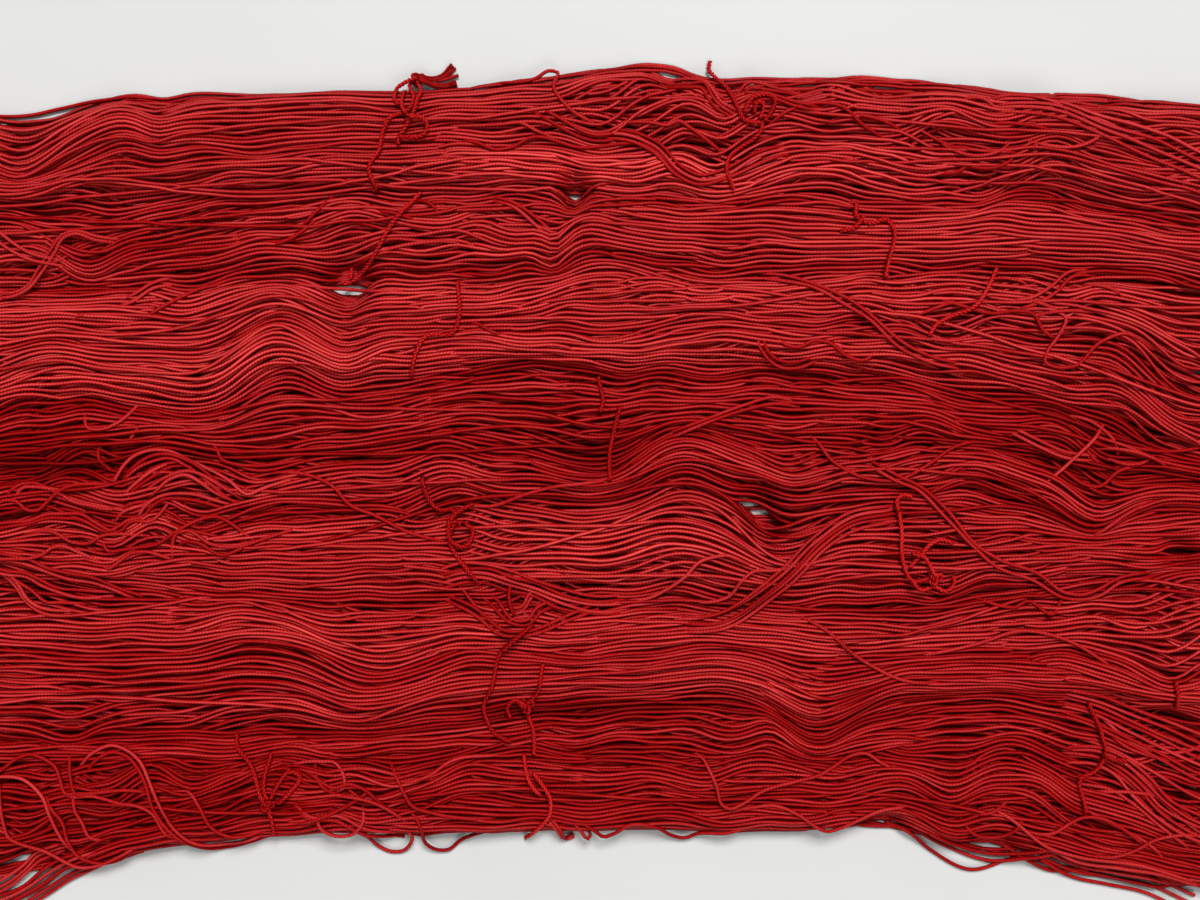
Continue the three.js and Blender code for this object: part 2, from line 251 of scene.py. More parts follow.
# The ties, by the names of their solids. Each follows its solid, with the small bends that the photo shows.
TIES = {
    "tie_far_left": Tie(
        ((-55.7, 113.6), (-58.1, 111.8), (-57.6, 109.6), (-56.4, 107.5), (-56.4, 105.4), (-57.4, 102.9),
         (-59.6, 101.4), (-63, 99.8), (-64.7, 97.5), (-65.6, 94.5), (-66.2, 90), (-69, 84), (-67, 78)), 0,
        legs=(
            ((-55.9, 112.8), (-54.8, 110.6), (-54.2, 108.8), (-54.9, 106.1), (-55.5, 103.1), (-57, 99.4),
             (-58.9, 96.4), (-60.4, 94.1), (-60.8, 91.9)),
            ((-57, 99.6), (-53.6, 99.6), (-52.1, 98.3), (-51.9, 96.8), (-53.1, 94.9), (-55.1, 94.1),
             (-57.8, 94), (-60, 93.8)),
            ((-55.9, 113.6), (-59.6, 111.9), (-61.5, 110.3), (-62.1, 107.6), (-61.7, 105.4),
             (-60.4, 104.1)),
            ((-59.4, 109.3), (-59.6, 105), (-59.2, 102.8), (-57.8, 100.5)),
        ),
        tufts=(
            (((-55.2, 113.7), (-51, 113.7), (-48.2, 114.7), (-45, 117.9)), 0.6, 1.3),
            (((-55.2, 112.8), (-51, 111.7), (-47.6, 111.4), (-43.9, 112.3)), 0.6, 1.35),
            (((-50, 113), (-47, 113.9), (-42.9, 115.2)), 0.3, 0.5),
        ),
    ),
    "tie_second_left": Tie(
        ((-54, 77.5), (-58, 72.5), (-62.4, 67.5), (-66, 61.5), (-69.5, 56.5), (-75, 52), (-78, 50.3)),
        legs=(
            ((-75.8, 55.4), (-75.6, 53.8), (-75.9, 52)),
        ),
    ),
    "tie_far_middle": Tie(
        ((33.8, 119.3), (33.3, 116.8), (34.5, 114.4), (37.9, 110.3), (40.1, 106.5), (41.6, 102.8),
         (43.5, 99.4), (45.8, 98.7), (49, 98.4), (48.6, 96.6), (46.5, 94.1), (43.1, 91.9), (39, 88),
         (38, 84), (40, 78)),
        legs=(
            ((43.5, 101.6), (44.4, 104), (45.8, 105.8), (48, 106.5), (51, 106.4), (52.5, 105),
             (51.8, 102.4), (49.5, 99)),
            ((46.4, 101.5), (47.2, 104.4), (48.8, 104.3), (49.1, 102), (48, 99.6)),
        ),
    ),
    "tie_second_right": Tie(
        ((77, 74), (77, 70), (81, 68), (86, 69), (88, 66), (87, 58), (86, 52)),
        legs=(
            ((79, 70), (76, 66.5), (72, 65.5)),
        ),
    ),
    "tie_third_left": Tie(((-43, 51), (-42, 41), (-44, 35), (-52, 34), (-55, 29), (-57, 22))),
    "tie_third_right": Tie(((120, 55), (116, 48), (112, 43), (105, 40), (100, 37), (98, 34))),
    "tie_centre": Tie(
        ((6, 13), (4, 5), (3, 0), (3, -9)),
        legs=(
            ((-0.5, 22), (0.3, 18.5), (1, 15), (0, 11.5)),
        ),
    ),
    "tie_fifth_left": Tie(
        ((-53, -8), (-52, -13), (-48, -18), (-44, -18), (-44, -22), (-45, -27), (-43, -31), (-40, -35),
         (-37, -39)), 4,
        legs=(
            ((-38, -16), (-43.5, -19.5), (-45, -22.5), (-44.4, -27), (-40.5, -28.8), (-38.4, -26.4),
             (-38, -23.5), (-41, -21.5)),
        ),
    ),
    "tie_fifth_right": Tie(
        ((89, -15), (90, -24), (90, -33), (93, -39), (100, -38)), 4,
        legs=(
            ((89, -18), (88.8, -15), (90.6, -13.5), (93.6, -14.1)),
            ((92, -35), (95, -31.5), (99, -27.6), (101, -26.7), (105, -27.6)),
            ((92.7, -30.6), (96, -31.8), (98, -34.5), (99.6, -37.2), (101, -37.8)),
            ((92.7, -39), (96, -42), (100.5, -41), (103.5, -42.3), (105.6, -40.2), (105.6, -37.5)),
        ),
    ),
    "tie_sixth_left": Tie(
        ((-25, -56), (-30, -61), (-32, -70), (-35, -77), (-32, -85), (-27, -88)),
        legs=(
            ((-20, -52), (-26, -57), (-29, -60)),
        ),
    ),
    "tie_sixth_middle": Tie(
        ((-17, -64), (-19, -73), (-22, -77), (-20, -85), (-20, -92)), 2,
        legs=(
            ((-22, -77), (-26, -75), (-28, -78), (-27, -81)),
        ),
    ),
    "tie_near_middle": Tie(
        ((-20, -97), (-15, -105), (-15, -109), (-20, -116), (-23, -119)),
        legs=(
            ((-23, -92), (-21, -100), (-18, -104)),
        ),
    ),
    "tie_near_left": Tie(
        ((-99, -91), (-101, -102), (-100, -106), (-99, -112), (-99, -117)), 2,
        legs=(
            ((-109.5, -85.5), (-108.9, -89), (-105, -94.5), (-101.4, -105)),
            ((-99, -105), (-97, -101), (-93, -96.6), (-90, -98), (-93, -102.6), (-97, -106.5)),
        ),
    ),
    "tie_near_right": Tie(
        ((147, -76), (151, -86), (152, -91), (149, -97), (145, -99), (146, -109)),
        legs=(
            ((151, -91), (154, -93), (158, -93)),
        ),
    ),
    "tie_sixth_right": Tie(((172, -69), (172, -77))),
}

# Strands that lie across the others.
STRAYS = {
    "far_loop": Stray(((-34, 112), (-19, 113.5), (-16, 116), (-13, 114.5), (-14, 111), (-10, 103),
        (0, 97))),
    "near_loop_left": Stray(((-76, -115.5), (-70.4, -118), (-67.8, -121.2), (-64.2, -122.9),
        (-60.5, -122.8), (-58.2, -120.8), (-57.6, -118), (-60, -114))),
    "near_sag_left": Stray(((87, -114), (93, -116.5), (102, -123), (114, -128.5), (126, -125.5),
        (135, -122))),
    "near_sag_right": Stray(((123, -121), (128, -124.5), (138, -129.5), (150, -128), (159, -125))),
    "near_sag_inner": Stray(((96, -115), (108, -121), (120, -124.5), (130, -124),
        (140, -121)), 2, 1.6, 2.2),
    "near_sag_outer": Stray(((135, -123), (145, -128), (156, -130), (168, -132), (182, -138)), 4, 1.5, 3),
    "fifth_sweep": Stray(((22, -52), (36, -51), (54, -39), (66, -27), (75, -21.5),
        (90, -19)), 5, 1.25, 1.25),
    "fifth_slant": Stray(((-100, -7), (-92, -6.8), (-85.3, -7.9), (-79, -11), (-75, -15.8), (-66.3, -20),
        (-57.6, -24.2), (-46, -27.6))),
    "fifth_rise": Stray(((-43, -18.5), (-41, -17.7), (-31.6, -16.3), (-22.1, -13.4), (-12.6, -11),
        (-4.8, -9.9), (4, -9))),
    "far_left_pair": Stray(((-143, 62.6), (-150, 63.2), (-157, 64.6), (-160.4, 63.4), (-163.5, 59.6),
        (-168, 53.4), (-171.5, 48.8), (-175.5, 47), (-184, 46.3)), 2, 1.2, 1.3),
    "far_left_slant": Stray(((-186, 70), (-180, 64), (-170, 58), (-160, 56)), 2, 3, 1.6),
    "far_right_sweep": Stray(((118, 104), (138, 102.5), (153, 97), (168, 91), (180, 85.5),
        (194, 79)), 4, 1.4, 3.2),
    "far_right_arc": Stray(((50, 98), (57, 102), (64, 104.5), (72, 103), (80, 97), (88, 93))),
    "far_hook": Stray(((-20, 103), (-12, 98), (-2, 94), (8, 95)), 2, 2, 1.6),
    "second_slant": Stray(((-34, 76), (-26, 73), (-18, 67.5), (-15, 65)), 2, 1.6, 1.5),
    "corner_fan_a": Stray(((-141, -121.5), (-150, -124.6), (-156, -127), (-163, -130.4), (-171, -135.6),
        (-181, -141), (-192, -142.6), (-204, -140.2), (-216, -133.5), (-227, -125.5),
        (-238, -117)), 3, 1.3, 1.6),
    "corner_fan_b": Stray(((-152, -121.5), (-158, -123.5), (-164, -126.4), (-170, -130.3), (-177, -135),
        (-186, -138.8), (-196, -139), (-207, -135.5), (-218, -128.5), (-228, -121),
        (-238, -113)), 3, 1.3, 1.6),
    "corner_fan_c": Stray(((-162, -120.5), (-168, -122.6), (-172, -124.8), (-176, -128), (-181, -132.4),
        (-188, -135.6), (-198, -135.4), (-208, -131.4), (-218, -125), (-228, -117.5),
        (-238, -110)), 3, 1.3, 1.6),
    "near_curl": Stray(((28, -91), (30.3, -92.8), (33, -96.5), (35, -101.5), (36.4, -106), (38.8, -107.6),
        (43, -106.3), (49, -102.6), (58, -99.4), (66, -97.6), (71, -94.6), (75, -92), (79.5, -91.4),
        (84, -94), (90, -96.5))),
    "near_vee": Stray(((38, -109), (45, -107.5), (53, -107.3), (60, -110), (65.5, -113.8), (69, -115.3),
        (73, -114.4), (78, -111.5), (85, -109), (95, -107.5))),
    "near_edge": Stray(((-8, -111), (-1, -115.5), (1.8, -117.6), (4.5, -116.6), (9, -113.2), (14, -113.2),
        (18, -114.8), (21.5, -117.6), (25.5, -118.7), (30, -117.2), (38, -116), (46, -114))),
    "fifth_wave_a": Stray(((8, -45.4), (14, -44.6), (20, -42), (25.5, -37.6), (29.5, -33.4), (33.5, -31.6),
        (38.5, -31.6), (42, -33.4), (48, -36))),
    "fifth_wave_b": Stray(((27, -46), (34, -45.7), (38.5, -43.4), (42.5, -38.8), (46, -36.2), (51, -35.6),
        (58, -35.2))),
    "third_tail": Stray(((-41, 38.6), (-37.5, 38.2), (-34.5, 36.3), (-31.5, 35.4), (-25, 35))),
    "third_rise_left": Stray(((-137, 38.8), (-133, 40.8), (-126.5, 45.2), (-120, 48.5), (-111, 50))),
    "third_rise_far": Stray(((-146, 44), (-140, 45.5), (-134.5, 49.3), (-128, 51)), 2, 1.4, 1.4),
    "third_arch": Stray(((-158.5, 37.4), (-156.5, 39.8), (-154, 40.3), (-150.5, 38.2))),
    "fourth_dip": Stray(((63, 5), (66, 2), (68.5, -1.5), (90, -8.5), (97.5, -4.5), (108, 1.5), (116, 3))),
    "fourth_slant": Stray(((20, 4), (32, 9), (44, 13), (52, 15), (60, 14)), 2, 1.6, 2),
    "sixth_slant": Stray(((58, -49), (66, -52.5), (78, -63), (93, -69), (104, -69))),
    "sixth_arc": Stray(((96, -62), (112, -58), (126, -54), (140, -57), (152, -64))),
    "near_sweep_a": Stray(((145, -87), (153, -90), (165, -96), (180, -105), (194, -109))),
    "near_sweep_b": Stray(((148, -93), (156, -96), (168, -105), (180, -115), (194, -121)), 3, 1.5, 3),
    "left_hook": Stray(((-156, 13), (-153.3, 6.9), (-151.2, 6), (-144, 9), (-138.6, 14.1))),
    "left_drop": Stray(((-148.8, 1.8), (-150.3, 0), (-149.7, -3), (-146.1, -7.2))),
    "left_end": Stray(((-138.3, 8), (-141.6, 2))),
    "swirl_a": Stray(((-146, -10), (-144, -6.3), (-140, -2.4), (-134.7, 0), (-129.3, -0.3), (-123.3, -3),
        (-110.7, -9), (-104.7, -13.2), (-101.4, -11.7), (-90, -8.1))),
    "swirl_b": Stray(((-143, -9), (-138.6, -5.1), (-134, -2.1), (-129.3, -1.8), (-123.3, -4.2),
        (-116.7, -8.4), (-108.6, -15.3)), 2, 1.4, 1.6),
    "swirl_c": Stray(((-143.4, -15.3), (-139.2, -11.1), (-133.2, -7.2), (-127.2, -3.6)), 2, 1.5, 1.5),
    "swirl_d": Stray(((-136.8, -13.8), (-132, -10.8), (-128.7, -8.1), (-123.9, -6.6), (-113.4, -11.7),
        (-107, -16)), 2, 1.5, 2),
    "swirl_e": Stray(((-138.6, -21), (-135.9, -17.7), (-130.8, -14.4), (-124.8, -13.8),
        (-110.1, -17.1)), 2, 1.5, 1.5),
    "swirl_f": Stray(((-145.8, -21.3), (-143.4, -18.6), (-140.1, -16.8), (-134.7, -15.6)), 2, 1.5, 1.5),
    "swirl_g": Stray(((-129.3, -15.3), (-130.8, -18.3), (-133.2, -21), (-141.3, -21.3))),
    "left_wave_a": Stray(((-178.8, -15.6), (-176, -11.7), (-172, -10.2), (-166.8, -10.2), (-162.6, -11.7),
        (-154.8, -16.2))),
    "left_wave_b": Stray(((-184, -22), (-177.3, -15), (-174, -15.6), (-171.3, -17.7), (-167.4, -17.7),
        (-164.7, -15.6), (-159.9, -11.4), (-144.6, -9.9))),
    "left_wave_c": Stray(((-150, -33), (-146, -35.4), (-142.8, -33), (-139.2, -30.3), (-134.7, -30.3),
        (-127, -33))),
    "left_crook": Stray(((-127.8, -32.4), (-127.2, -28.2), (-126, -24.9), (-123.3, -24), (-115.2, -28.2),
        (-110, -29), (-98, -25.8), (-88, -23))),
    "left_crook_low": Stray(((-127, -29.5), (-123.3, -27), (-119.4, -27.6), (-112.8, -31.2),
        (-103.2, -27.6))),
    "left_slide": Stray(((-186, -33.5), (-180, -35.5), (-177.1, -36.9), (-174.3, -40.5), (-171.4, -44.4),
        (-168.6, -46.9), (-165, -48.5), (-158, -49)), 2, 1.5, 1.3),
    "left_slip_a": Stray(((-186, -30.5), (-176, -31.8), (-169.3, -33.4), (-164.3, -35.9), (-158.6, -37.6),
        (-151.4, -39.1), (-145.7, -41.2), (-138, -44.5)), 2, 1.6, 1.4),
    "left_slip_b": Stray(((-184, -34.5), (-175.7, -36.6), (-171.4, -37.3), (-167.1, -39.8), (-162.9, -41.6),
        (-156.4, -43), (-146, -43.6)), 2, 1.5, 1.3),
    "left_slip_c": Stray(((-178, -37), (-172.9, -39.8), (-169.3, -42.6), (-165.7, -45.5), (-162.1, -46.2),
        (-152, -46.4))),
    "left_wave_d": Stray(((-177, -16), (-173.6, -13), (-171.4, -11.2), (-167.9, -10.7), (-164.6, -11.1),
        (-158.6, -12.3))),
    "left_wave_e": Stray(((-163, -11.5), (-158.6, -14.4), (-155.7, -15.9), (-151.4, -16.9), (-147.9, -17.6),
        (-141, -17))),
    "left_wave_f": Stray(((-186, -23.5), (-175.7, -21.9), (-170.7, -21.2), (-165.7, -19.8), (-160, -19.8),
        (-155, -20.1), (-151.4, -21.6), (-148.6, -23.4), (-145.7, -24.1), (-142.9, -23), (-140.7, -21.6),
        (-134, -21)), 2, 1.3, 1.3),
    "left_wave_g": Stray(((-172, -25), (-162.9, -24.8), (-160.4, -25.5), (-158.6, -26.9), (-155.7, -28),
        (-152.1, -27.5), (-148.6, -25.5), (-144.3, -25.1), (-136, -25.8))),
    "left_wave_h": Stray(((-186, -32.8), (-174.3, -31.9), (-169.3, -32.3), (-165.7, -31.2), (-162.1, -29.1),
        (-158.6, -28.7), (-155.7, -30.1), (-151.4, -31.9), (-147, -34.5))),
    "left_wave_i": Stray(((-151, -26), (-148.6, -27.6), (-146.4, -29.4), (-142.1, -29.8), (-137.1, -29.1),
        (-131.4, -27.6), (-127.1, -25.5), (-122.9, -22.6), (-118.6, -20.1), (-115, -20.1), (-110, -21.9),
        (-103, -27))),
    "far_left_edge": Stray(((-186, 102.3), (-180, 102.4), (-174, 102.8), (-166, 104.6), (-158, 106.5),
        (-150, 107.8), (-144, 108.2), (-137, 107.6))),
    "left_kink": Stray(((-118, 3), (-115.2, 0.3), (-113.4, -2.4), (-109.2, -4.2), (-104, -5.1),
        (-88, -2.7))),
    "nest_roof": Stray(((-50, -39.5), (-40.5, -36.9), (-33, -36.9), (-27, -39), (-20, -41), (-12, -44.4),
        (-3, -46.5), (9, -46.5)), 5, 1.4, 1.4),
    "nest_a": Stray(((-42.6, -39.9), (-38, -45.9), (-31.5, -53.4))),
    "nest_b": Stray(((-38.4, -42.6), (-35.4, -40.5), (-31.5, -39.3)), 2, 1.6, 1.5),
    "nest_c": Stray(((-26.4, -38.5), (-27.3, -42.9), (-26.7, -47), (-24, -52))),
    "nest_d": Stray(((-26.1, -48), (-23.4, -47.4), (-20.7, -43.5), (-18, -42.4)), 2, 1.5, 1.6),
    "nest_e": Stray(((-20.5, -48.5), (-18, -46.5), (-15.9, -44)), 2, 1.5, 1.5),
    "nest_f": Stray(((-34.5, -44), (-31.5, -45.9), (-26.4, -51.4), (-21.9, -51.6), (-18, -48),
        (-13, -46.4)), 2, 1.6, 1.2),
    "nest_g": Stray(((-48, -44), (-38, -48), (-28, -54.6), (-22, -54.6), (-8, -49.5),
        (-1, -47)), 2, 1.8, 1.4),
    "nest_h": Stray(((-25, -43.3), (-23, -44.4), (-20, -46.5))),
    "corner_a": Stray(((-190, -103), (-180, -96), (-176, -93), (-171, -91.6), (-167, -92.8),
        (-163.6, -95.4), (-161.6, -99.6), (-160, -102.8), (-156.5, -103.2), (-152, -102.9), (-147, -101.8),
        (-143, -101.7), (-139.5, -102.6), (-134, -104))),
    "corner_g": Stray(((-163, -103), (-158, -104), (-152, -103.9), (-148, -104.6), (-144, -105.8),
        (-138, -107), (-134.5, -109), (-132.8, -112.5), (-130.8, -116), (-126, -118.5))),
    "corner_b": Stray(((-158.6, -101), (-157.8, -105), (-157.3, -108.5), (-156, -112), (-153, -116),
        (-148, -118.6))),
    "corner_h": Stray(((-160.4, -91), (-159.6, -95), (-158.6, -99.5), (-157, -102.6), (-150, -103))),
    "corner_c": Stray(((-190, -100), (-184, -98.8), (-178, -98), (-173.5, -98.6), (-169.8, -101),
        (-166.8, -104.6), (-165.2, -109), (-164, -114), (-162, -119), (-159, -123))),
    "corner_d": Stray(((-167, -104), (-164.6, -107.6), (-162, -112), (-160.4, -117), (-158.5, -121.8),
        (-156, -124.6), (-152.5, -126), (-147, -124.8), (-141, -121))),
    "corner_e": Stray(((-182, -96), (-180, -101), (-179.6, -106), (-179.4, -112), (-178, -117),
        (-174, -120), (-169, -122), (-163, -125), (-158, -126.6), (-153, -126.5), (-148, -124.6),
        (-139, -119))),
    "corner_pair": Stray(((-156.5, -97), (-152, -92.3), (-147, -89.8), (-142, -91.3), (-138.5, -94.8),
        (-135.8, -99), (-132.9, -107), (-128.3, -115.5), (-124, -118.8), (-119.7, -120.8), (-114, -121),
        (-100, -117)), 2, 2.2, 1.3),
    "corner_f": Stray(((-128, -101.5), (-122.4, -103.5), (-120, -106.5), (-116.4, -114), (-112.5, -117),
        (-100, -115.5))),
    "fifth_diagonal": Stray(((80, -3.6), (89, -8.7), (94.5, -10.8), (103.5, -19.5), (111, -28.5),
        (117, -33), (130.5, -37.8), (139.5, -43.5), (144.6, -44), (150, -42.6), (154.5, -39.6),
        (168, -37)), 2, 1.6, 1.8),
    "right_dip": Stray(((136, -3), (141.6, -8.1), (144.6, -10.5), (149, -10.8), (155, -6), (163, -4))),
    "right_rise": Stray(((145, -27), (151.5, -22.8), (156.6, -19.5), (165, -15))),
    "third_diagonal": Stray(((47, 52.6), (56, 51.5), (62, 49.6), (75, 43.5), (79.5, 40), (89, 31.8),
        (100, 26.6), (109, 25)), 2, 1.5, 1.6),
    "third_loop": Stray(((122, 41), (130, 42.6), (135.8, 41.6), (138.6, 38.8), (136.7, 34), (132.5, 29.4),
        (132, 26.2), (134.8, 24.8), (140.4, 25.2), (149.8, 32.3), (156.4, 35), (166, 30.5))),
    "third_hook_a": Stray(((50, 36.5), (48.2, 33), (50.4, 28.5), (54.2, 25.7), (58.9, 25.2),
        (66, 28.5)), 2, 1.6, 1.5),
    "third_hook_b": Stray(((51, 35), (55, 31.3), (58.9, 30.4), (63.6, 32.3), (68.3, 31.8), (73, 28.5),
        (78.6, 26.6), (84, 30.5))),
    "third_rise": Stray(((122, 43), (129.2, 44.4), (135.8, 48.2), (141.4, 52.9), (150, 54)), 2, 2.6, 1.6),
    "third_fall": Stray(((100, 46), (109.5, 42.6), (117, 40.7), (124.5, 41.6), (129.2, 40.7), (132, 36),
        (139, 32))),
    "fourth_fall": Stray(((122, 7), (131, 2.3), (139.5, -1.5), (150, -2.6)), 2, 1.6, 2.2),
    "fourth_drop": Stray(((139, 11), (148, 7.9), (152.6, 4), (156, -3))),
    "far_fold": Stray(((19, 112), (27, 111.4), (31.5, 110.6), (33.8, 107.3), (35.3, 104.3), (39, 102),
        (44, 100.4)), 3, 1.4, 1.2),
    "far_crest": Stray(((42, 101), (45, 104.3), (48, 106.5), (52.5, 106), (57.8, 103.5),
        (68, 102)), 2, 1.4, 1.6),
    "far_wave": Stray(((-44, 93.4), (-36.8, 92.6), (-30.8, 90), (-27, 90.8), (-21, 93.8), (-6, 90.8),
        (15, 90.4), (18.8, 87.8), (22.5, 83.3), (29, 80.5))),
    "far_dip": Stray(((1, 95.5), (10.5, 93.8), (16.5, 90.8), (24, 83.3), (30, 80.6), (36, 81.8), (48, 87.8),
        (58, 91)), 3, 1.5, 1.7),
    "far_cross": Stray(((5, 98.3), (15.8, 98.6), (20.3, 97.5), (23.3, 99), (27, 96.8), (33, 93), (39, 88))),
    "far_inner_fold": Stray(((34.3, 112), (35.6, 108.8), (37.1, 106.1), (39, 105.6), (41, 106.3))),
    "far_outer_fold": Stray(((40.9, 105.8), (43.5, 109.1), (45, 110.4), (48, 110.4), (53.3, 109.1),
        (62, 108.5)), 2, 1.4, 1.5),
    "hole_strand": Stray(((-94, 50.6), (-84, 49.5), (-77.3, 49), (-69, 48.3), (-58, 47.6))),
    "far_slant": Stray(((-28, 99.3), (-23.3, 97.9), (-19.5, 95.3), (-13, 93.8))),
    "near_sweep_c": Stray(((146.5, -77), (153, -83.3), (159, -88.5), (166.5, -91.5), (174, -92.3),
        (186, -89)), 2, 1.5, 2.4),
    "near_sweep_d": Stray(((144, -100), (154.5, -101.3), (159.8, -104.3), (168.8, -112.5),
        (180, -120)), 2, 1.6, 2.2),
    "near_fall": Stray(((145, -107.5), (151.5, -111.8), (157.5, -114), (163.5, -117.8), (171, -124))),
    "near_rise": Stray(((128, -115.5), (136.5, -115), (141, -112.5), (144.8, -110.6), (147.8, -110.6),
        (161.3, -117), (166, -121))),
    "near_arc": Stray(((147, -123), (155.3, -122.3), (159.8, -120.8), (167.3, -116.3), (172.5, -115.5),
        (186, -117))),
    "near_cross": Stray(((116, -107.5), (121.5, -110.3), (136.5, -120), (143.3, -123), (162.8, -126),
        (182, -131))),
    "near_sweep_e": Stray(((138, -76), (148.8, -78.5), (159.6, -83), (170.4, -88), (180, -92.5), (196, -98),
        (212, -101)), 7, 1.35, 2.4),
    "near_sweep_f": Stray(((140, -92), (150, -92.5), (157, -95.5), (163, -101), (169, -107.5),
        (177, -112.5), (190, -116.5), (208, -119)), 5, 1.35, 1.9),
    "near_loop_right": Stray(((-59, -107.5), (-54.8, -111.8), (-54, -116.3), (-53.3, -120), (-50.3, -122.6),
        (-46.5, -122.6), (-42.8, -119.6), (-35, -116))),
    "near_arch": Stray(((-64, -94), (-60.8, -98.3), (-59.3, -102.8), (-56.3, -106.5), (-51, -109),
        (-32, -111))),
    "near_hoop": Stray(((-95, -96), (-88.5, -93.8), (-83.3, -93.4), (-79.5, -94), (-77, -96.8),
        (-76.5, -101), (-80.5, -103.4))),
    "near_wave_a": Stray(((-91, -96), (-85.5, -98.3), (-80.3, -101.3), (-75, -99.8), (-71.3, -101.3),
        (-63, -108), (-55, -109))),
    "near_wave_b": Stray(((-62, -100), (-55.5, -99), (-51, -97.5), (-45, -93.8), (-28, -92))),
    "near_wave_c": Stray(((-93, -108), (-85.5, -111), (-79.5, -110.6), (-70.5, -115.5),
        (-60, -117.5)), 2, 1.5, 1.8),
    "near_tuft": Stray(((-17, -110), (-12.5, -115.5), (-10.5, -119), (-8, -118.2)), 2, 1.2, 1),
    "near_ring": Stray(((-10, -111), (-5.5, -115.5), (-4, -118.2), (-3, -117), (-4.5, -115.5))),
    "right_crook": Stray(((112, -44), (121.5, -47), (124.5, -47), (128, -45.3), (135, -49.2),
        (139, -44.6))),
}

# Tangled places: x and y in mm, spread along and across, how many short strands show, and how steeply
# they lie.
TANGLES = (
    (110, 95, 40, 9, 9, 0.2),
    (152, -1, 12, 4, 5, 0.4),
    (-60, 68, 26, 6, 5, 0.25),
    (120, -106, 35, 7, 3, 0.2),
    (110, 38, 35, 8, 6, 0.25),
    (-70, -104, 24, 7, 6, 0.3),
)


def smoothstep(values: np.ndarray, low: float, high: float) -> np.ndarray:
    """Eases from 0 at low to 1 at high.

    Args:
        values: Numbers to ease.
        low: Where the rise starts.
        high: Where it ends.

    Returns:
        The eased numbers.
    """
    t = np.clip((values - low) / (high - low), 0.0, 1.0)
    return t * t * (3.0 - 2.0 * t)


def bumps(table: Table, x: np.ndarray, y: np.ndarray) -> np.ndarray:
    """Adds up the rounded bumps of a table at places.

    Args:
        table: Rows of x, y, height, reach along and reach across, in mm.
        x: Places along the skein, in metres.
        y: Places across it, in metres.

    Returns:
        The sum at each place.
    """
    total = np.zeros(np.broadcast(x, y).shape)
    for centre, level, height, along, across in table:
        total += height * np.exp(-(((x / MM - centre) / along) ** 2) - ((y / MM - level) / across) ** 2)
    return total


def smooth_noise(rng: np.random.Generator, count: int, places: np.ndarray, length: float) -> np.ndarray:
    """Draws smooth random curves, one a row, of about unit height.

    Args:
        rng: Source of random numbers.
        count: How many curves.
        places: Positions along the skein.
        length: Distance between a curve's knots.

    Returns:
        An array of count rows and one column for each place.
    """
    at = (places - places.min()) / length + 1.0
    knots = rng.standard_normal((count, int(at.max()) + 4))
    first = at.astype(int)
    t = at - first
    before, here, after, later = (knots[:, first + i] for i in (-1, 0, 1, 2))
    return 0.5 * (
        2.0 * here
        + (after - before) * t
        + (2.0 * before - 5.0 * here + 4.0 * after - later) * t**2
        + (3.0 * here - before - 3.0 * after + later) * t**3
    )


def ripple(rng: np.random.Generator, across: np.ndarray, sections: np.ndarray, reach: tuple[float, float],
           waves: int = 36) -> np.ndarray:
    """Draws a smooth random field of about unit height that neighbouring strands share.

    Args:
        rng: Source of random numbers.
        across: Each strand's distance from the far edge.
        sections: Places along the skein.
        reach: How far along and how far across the skein the field keeps its value.
        waves: How many waves make it up.

    Returns:
        The field by strand and section.
    """
    total = np.zeros((len(across), len(sections)))
    for _ in range(waves):
        along, over = rng.normal(0.0, 1.0 / reach[0]), rng.normal(0.0, 1.0 / reach[1])
        total += np.cos(along * sections + over * across[:, None] + rng.uniform(0.0, FULL_TURN))
    return total * math.sqrt(2.0 / waves)


def spread(grid: np.ndarray, cells: int) -> np.ndarray:
    """Averages a grid over a square around each cell.

    Args:
        grid: Values by row and column.
        cells: Cells on each side of the middle one.

    Returns:
        The means, with the grid's edge rows repeated beyond it.
    """
    total = grid.astype(float)
    for axis in (0, 1):
        size = total.shape[axis]
        margin = [(cells + 1, cells) if a == axis else (0, 0) for a in (0, 1)]
        sums = np.cumsum(np.pad(total, margin, mode="edge"), axis=axis)
        upper, lower = np.arange(size) + 2 * cells + 1, np.arange(size)
        total = (np.take(sums, upper, axis) - np.take(sums, lower, axis)) / (2 * cells + 1)
    return total


def hermite(t: np.ndarray, start: np.ndarray, end: np.ndarray, leave: np.ndarray,
            arrive: np.ndarray) -> np.ndarray:
    """Runs smoothly from one value to another.

    Args:
        t: Share of the way, from 0 to 1.
        start: Value at the start.
        end: Value at the end.
        leave: Slope at the start, over the whole way.
        arrive: Slope at the end.

    Returns:
        The values on the way.
    """
    return (
        (2 * t**3 - 3 * t**2 + 1) * start
        + (t**3 - 2 * t**2 + t) * leave
        + (3 * t**2 - 2 * t**3) * end
        + (t**3 - t**2) * arrive
    )


def distance_along(path: np.ndarray) -> np.ndarray:
    """Distance of each point of a path from its start."""
    return np.concatenate([[0.0], np.cumsum(np.linalg.norm(np.diff(path, axis=0), axis=1))])


def curve_through(points: np.ndarray, step: float) -> np.ndarray:
    """Runs a smooth curve through points and spaces new ones along it.

    Args:
        points: Rows of coordinates.
        step: Distance between the new points.

    Returns:
        The new rows, the first and last among them.
    """
    at = distance_along(points)
    slopes = np.gradient(points, at, axis=0)
    wanted = np.linspace(0.0, at[-1], max(3, int(math.ceil(at[-1] / step)) + 1))
    span = np.clip(np.searchsorted(at, wanted, side="right") - 1, 0, len(at) - 2)
    gaps = np.diff(at)[span]
    t = ((wanted - at[span]) / gaps)[:, None]
    width = gaps[:, None]
    return hermite(t, points[span], points[span + 1], width * slopes[span], width * slopes[span + 1])


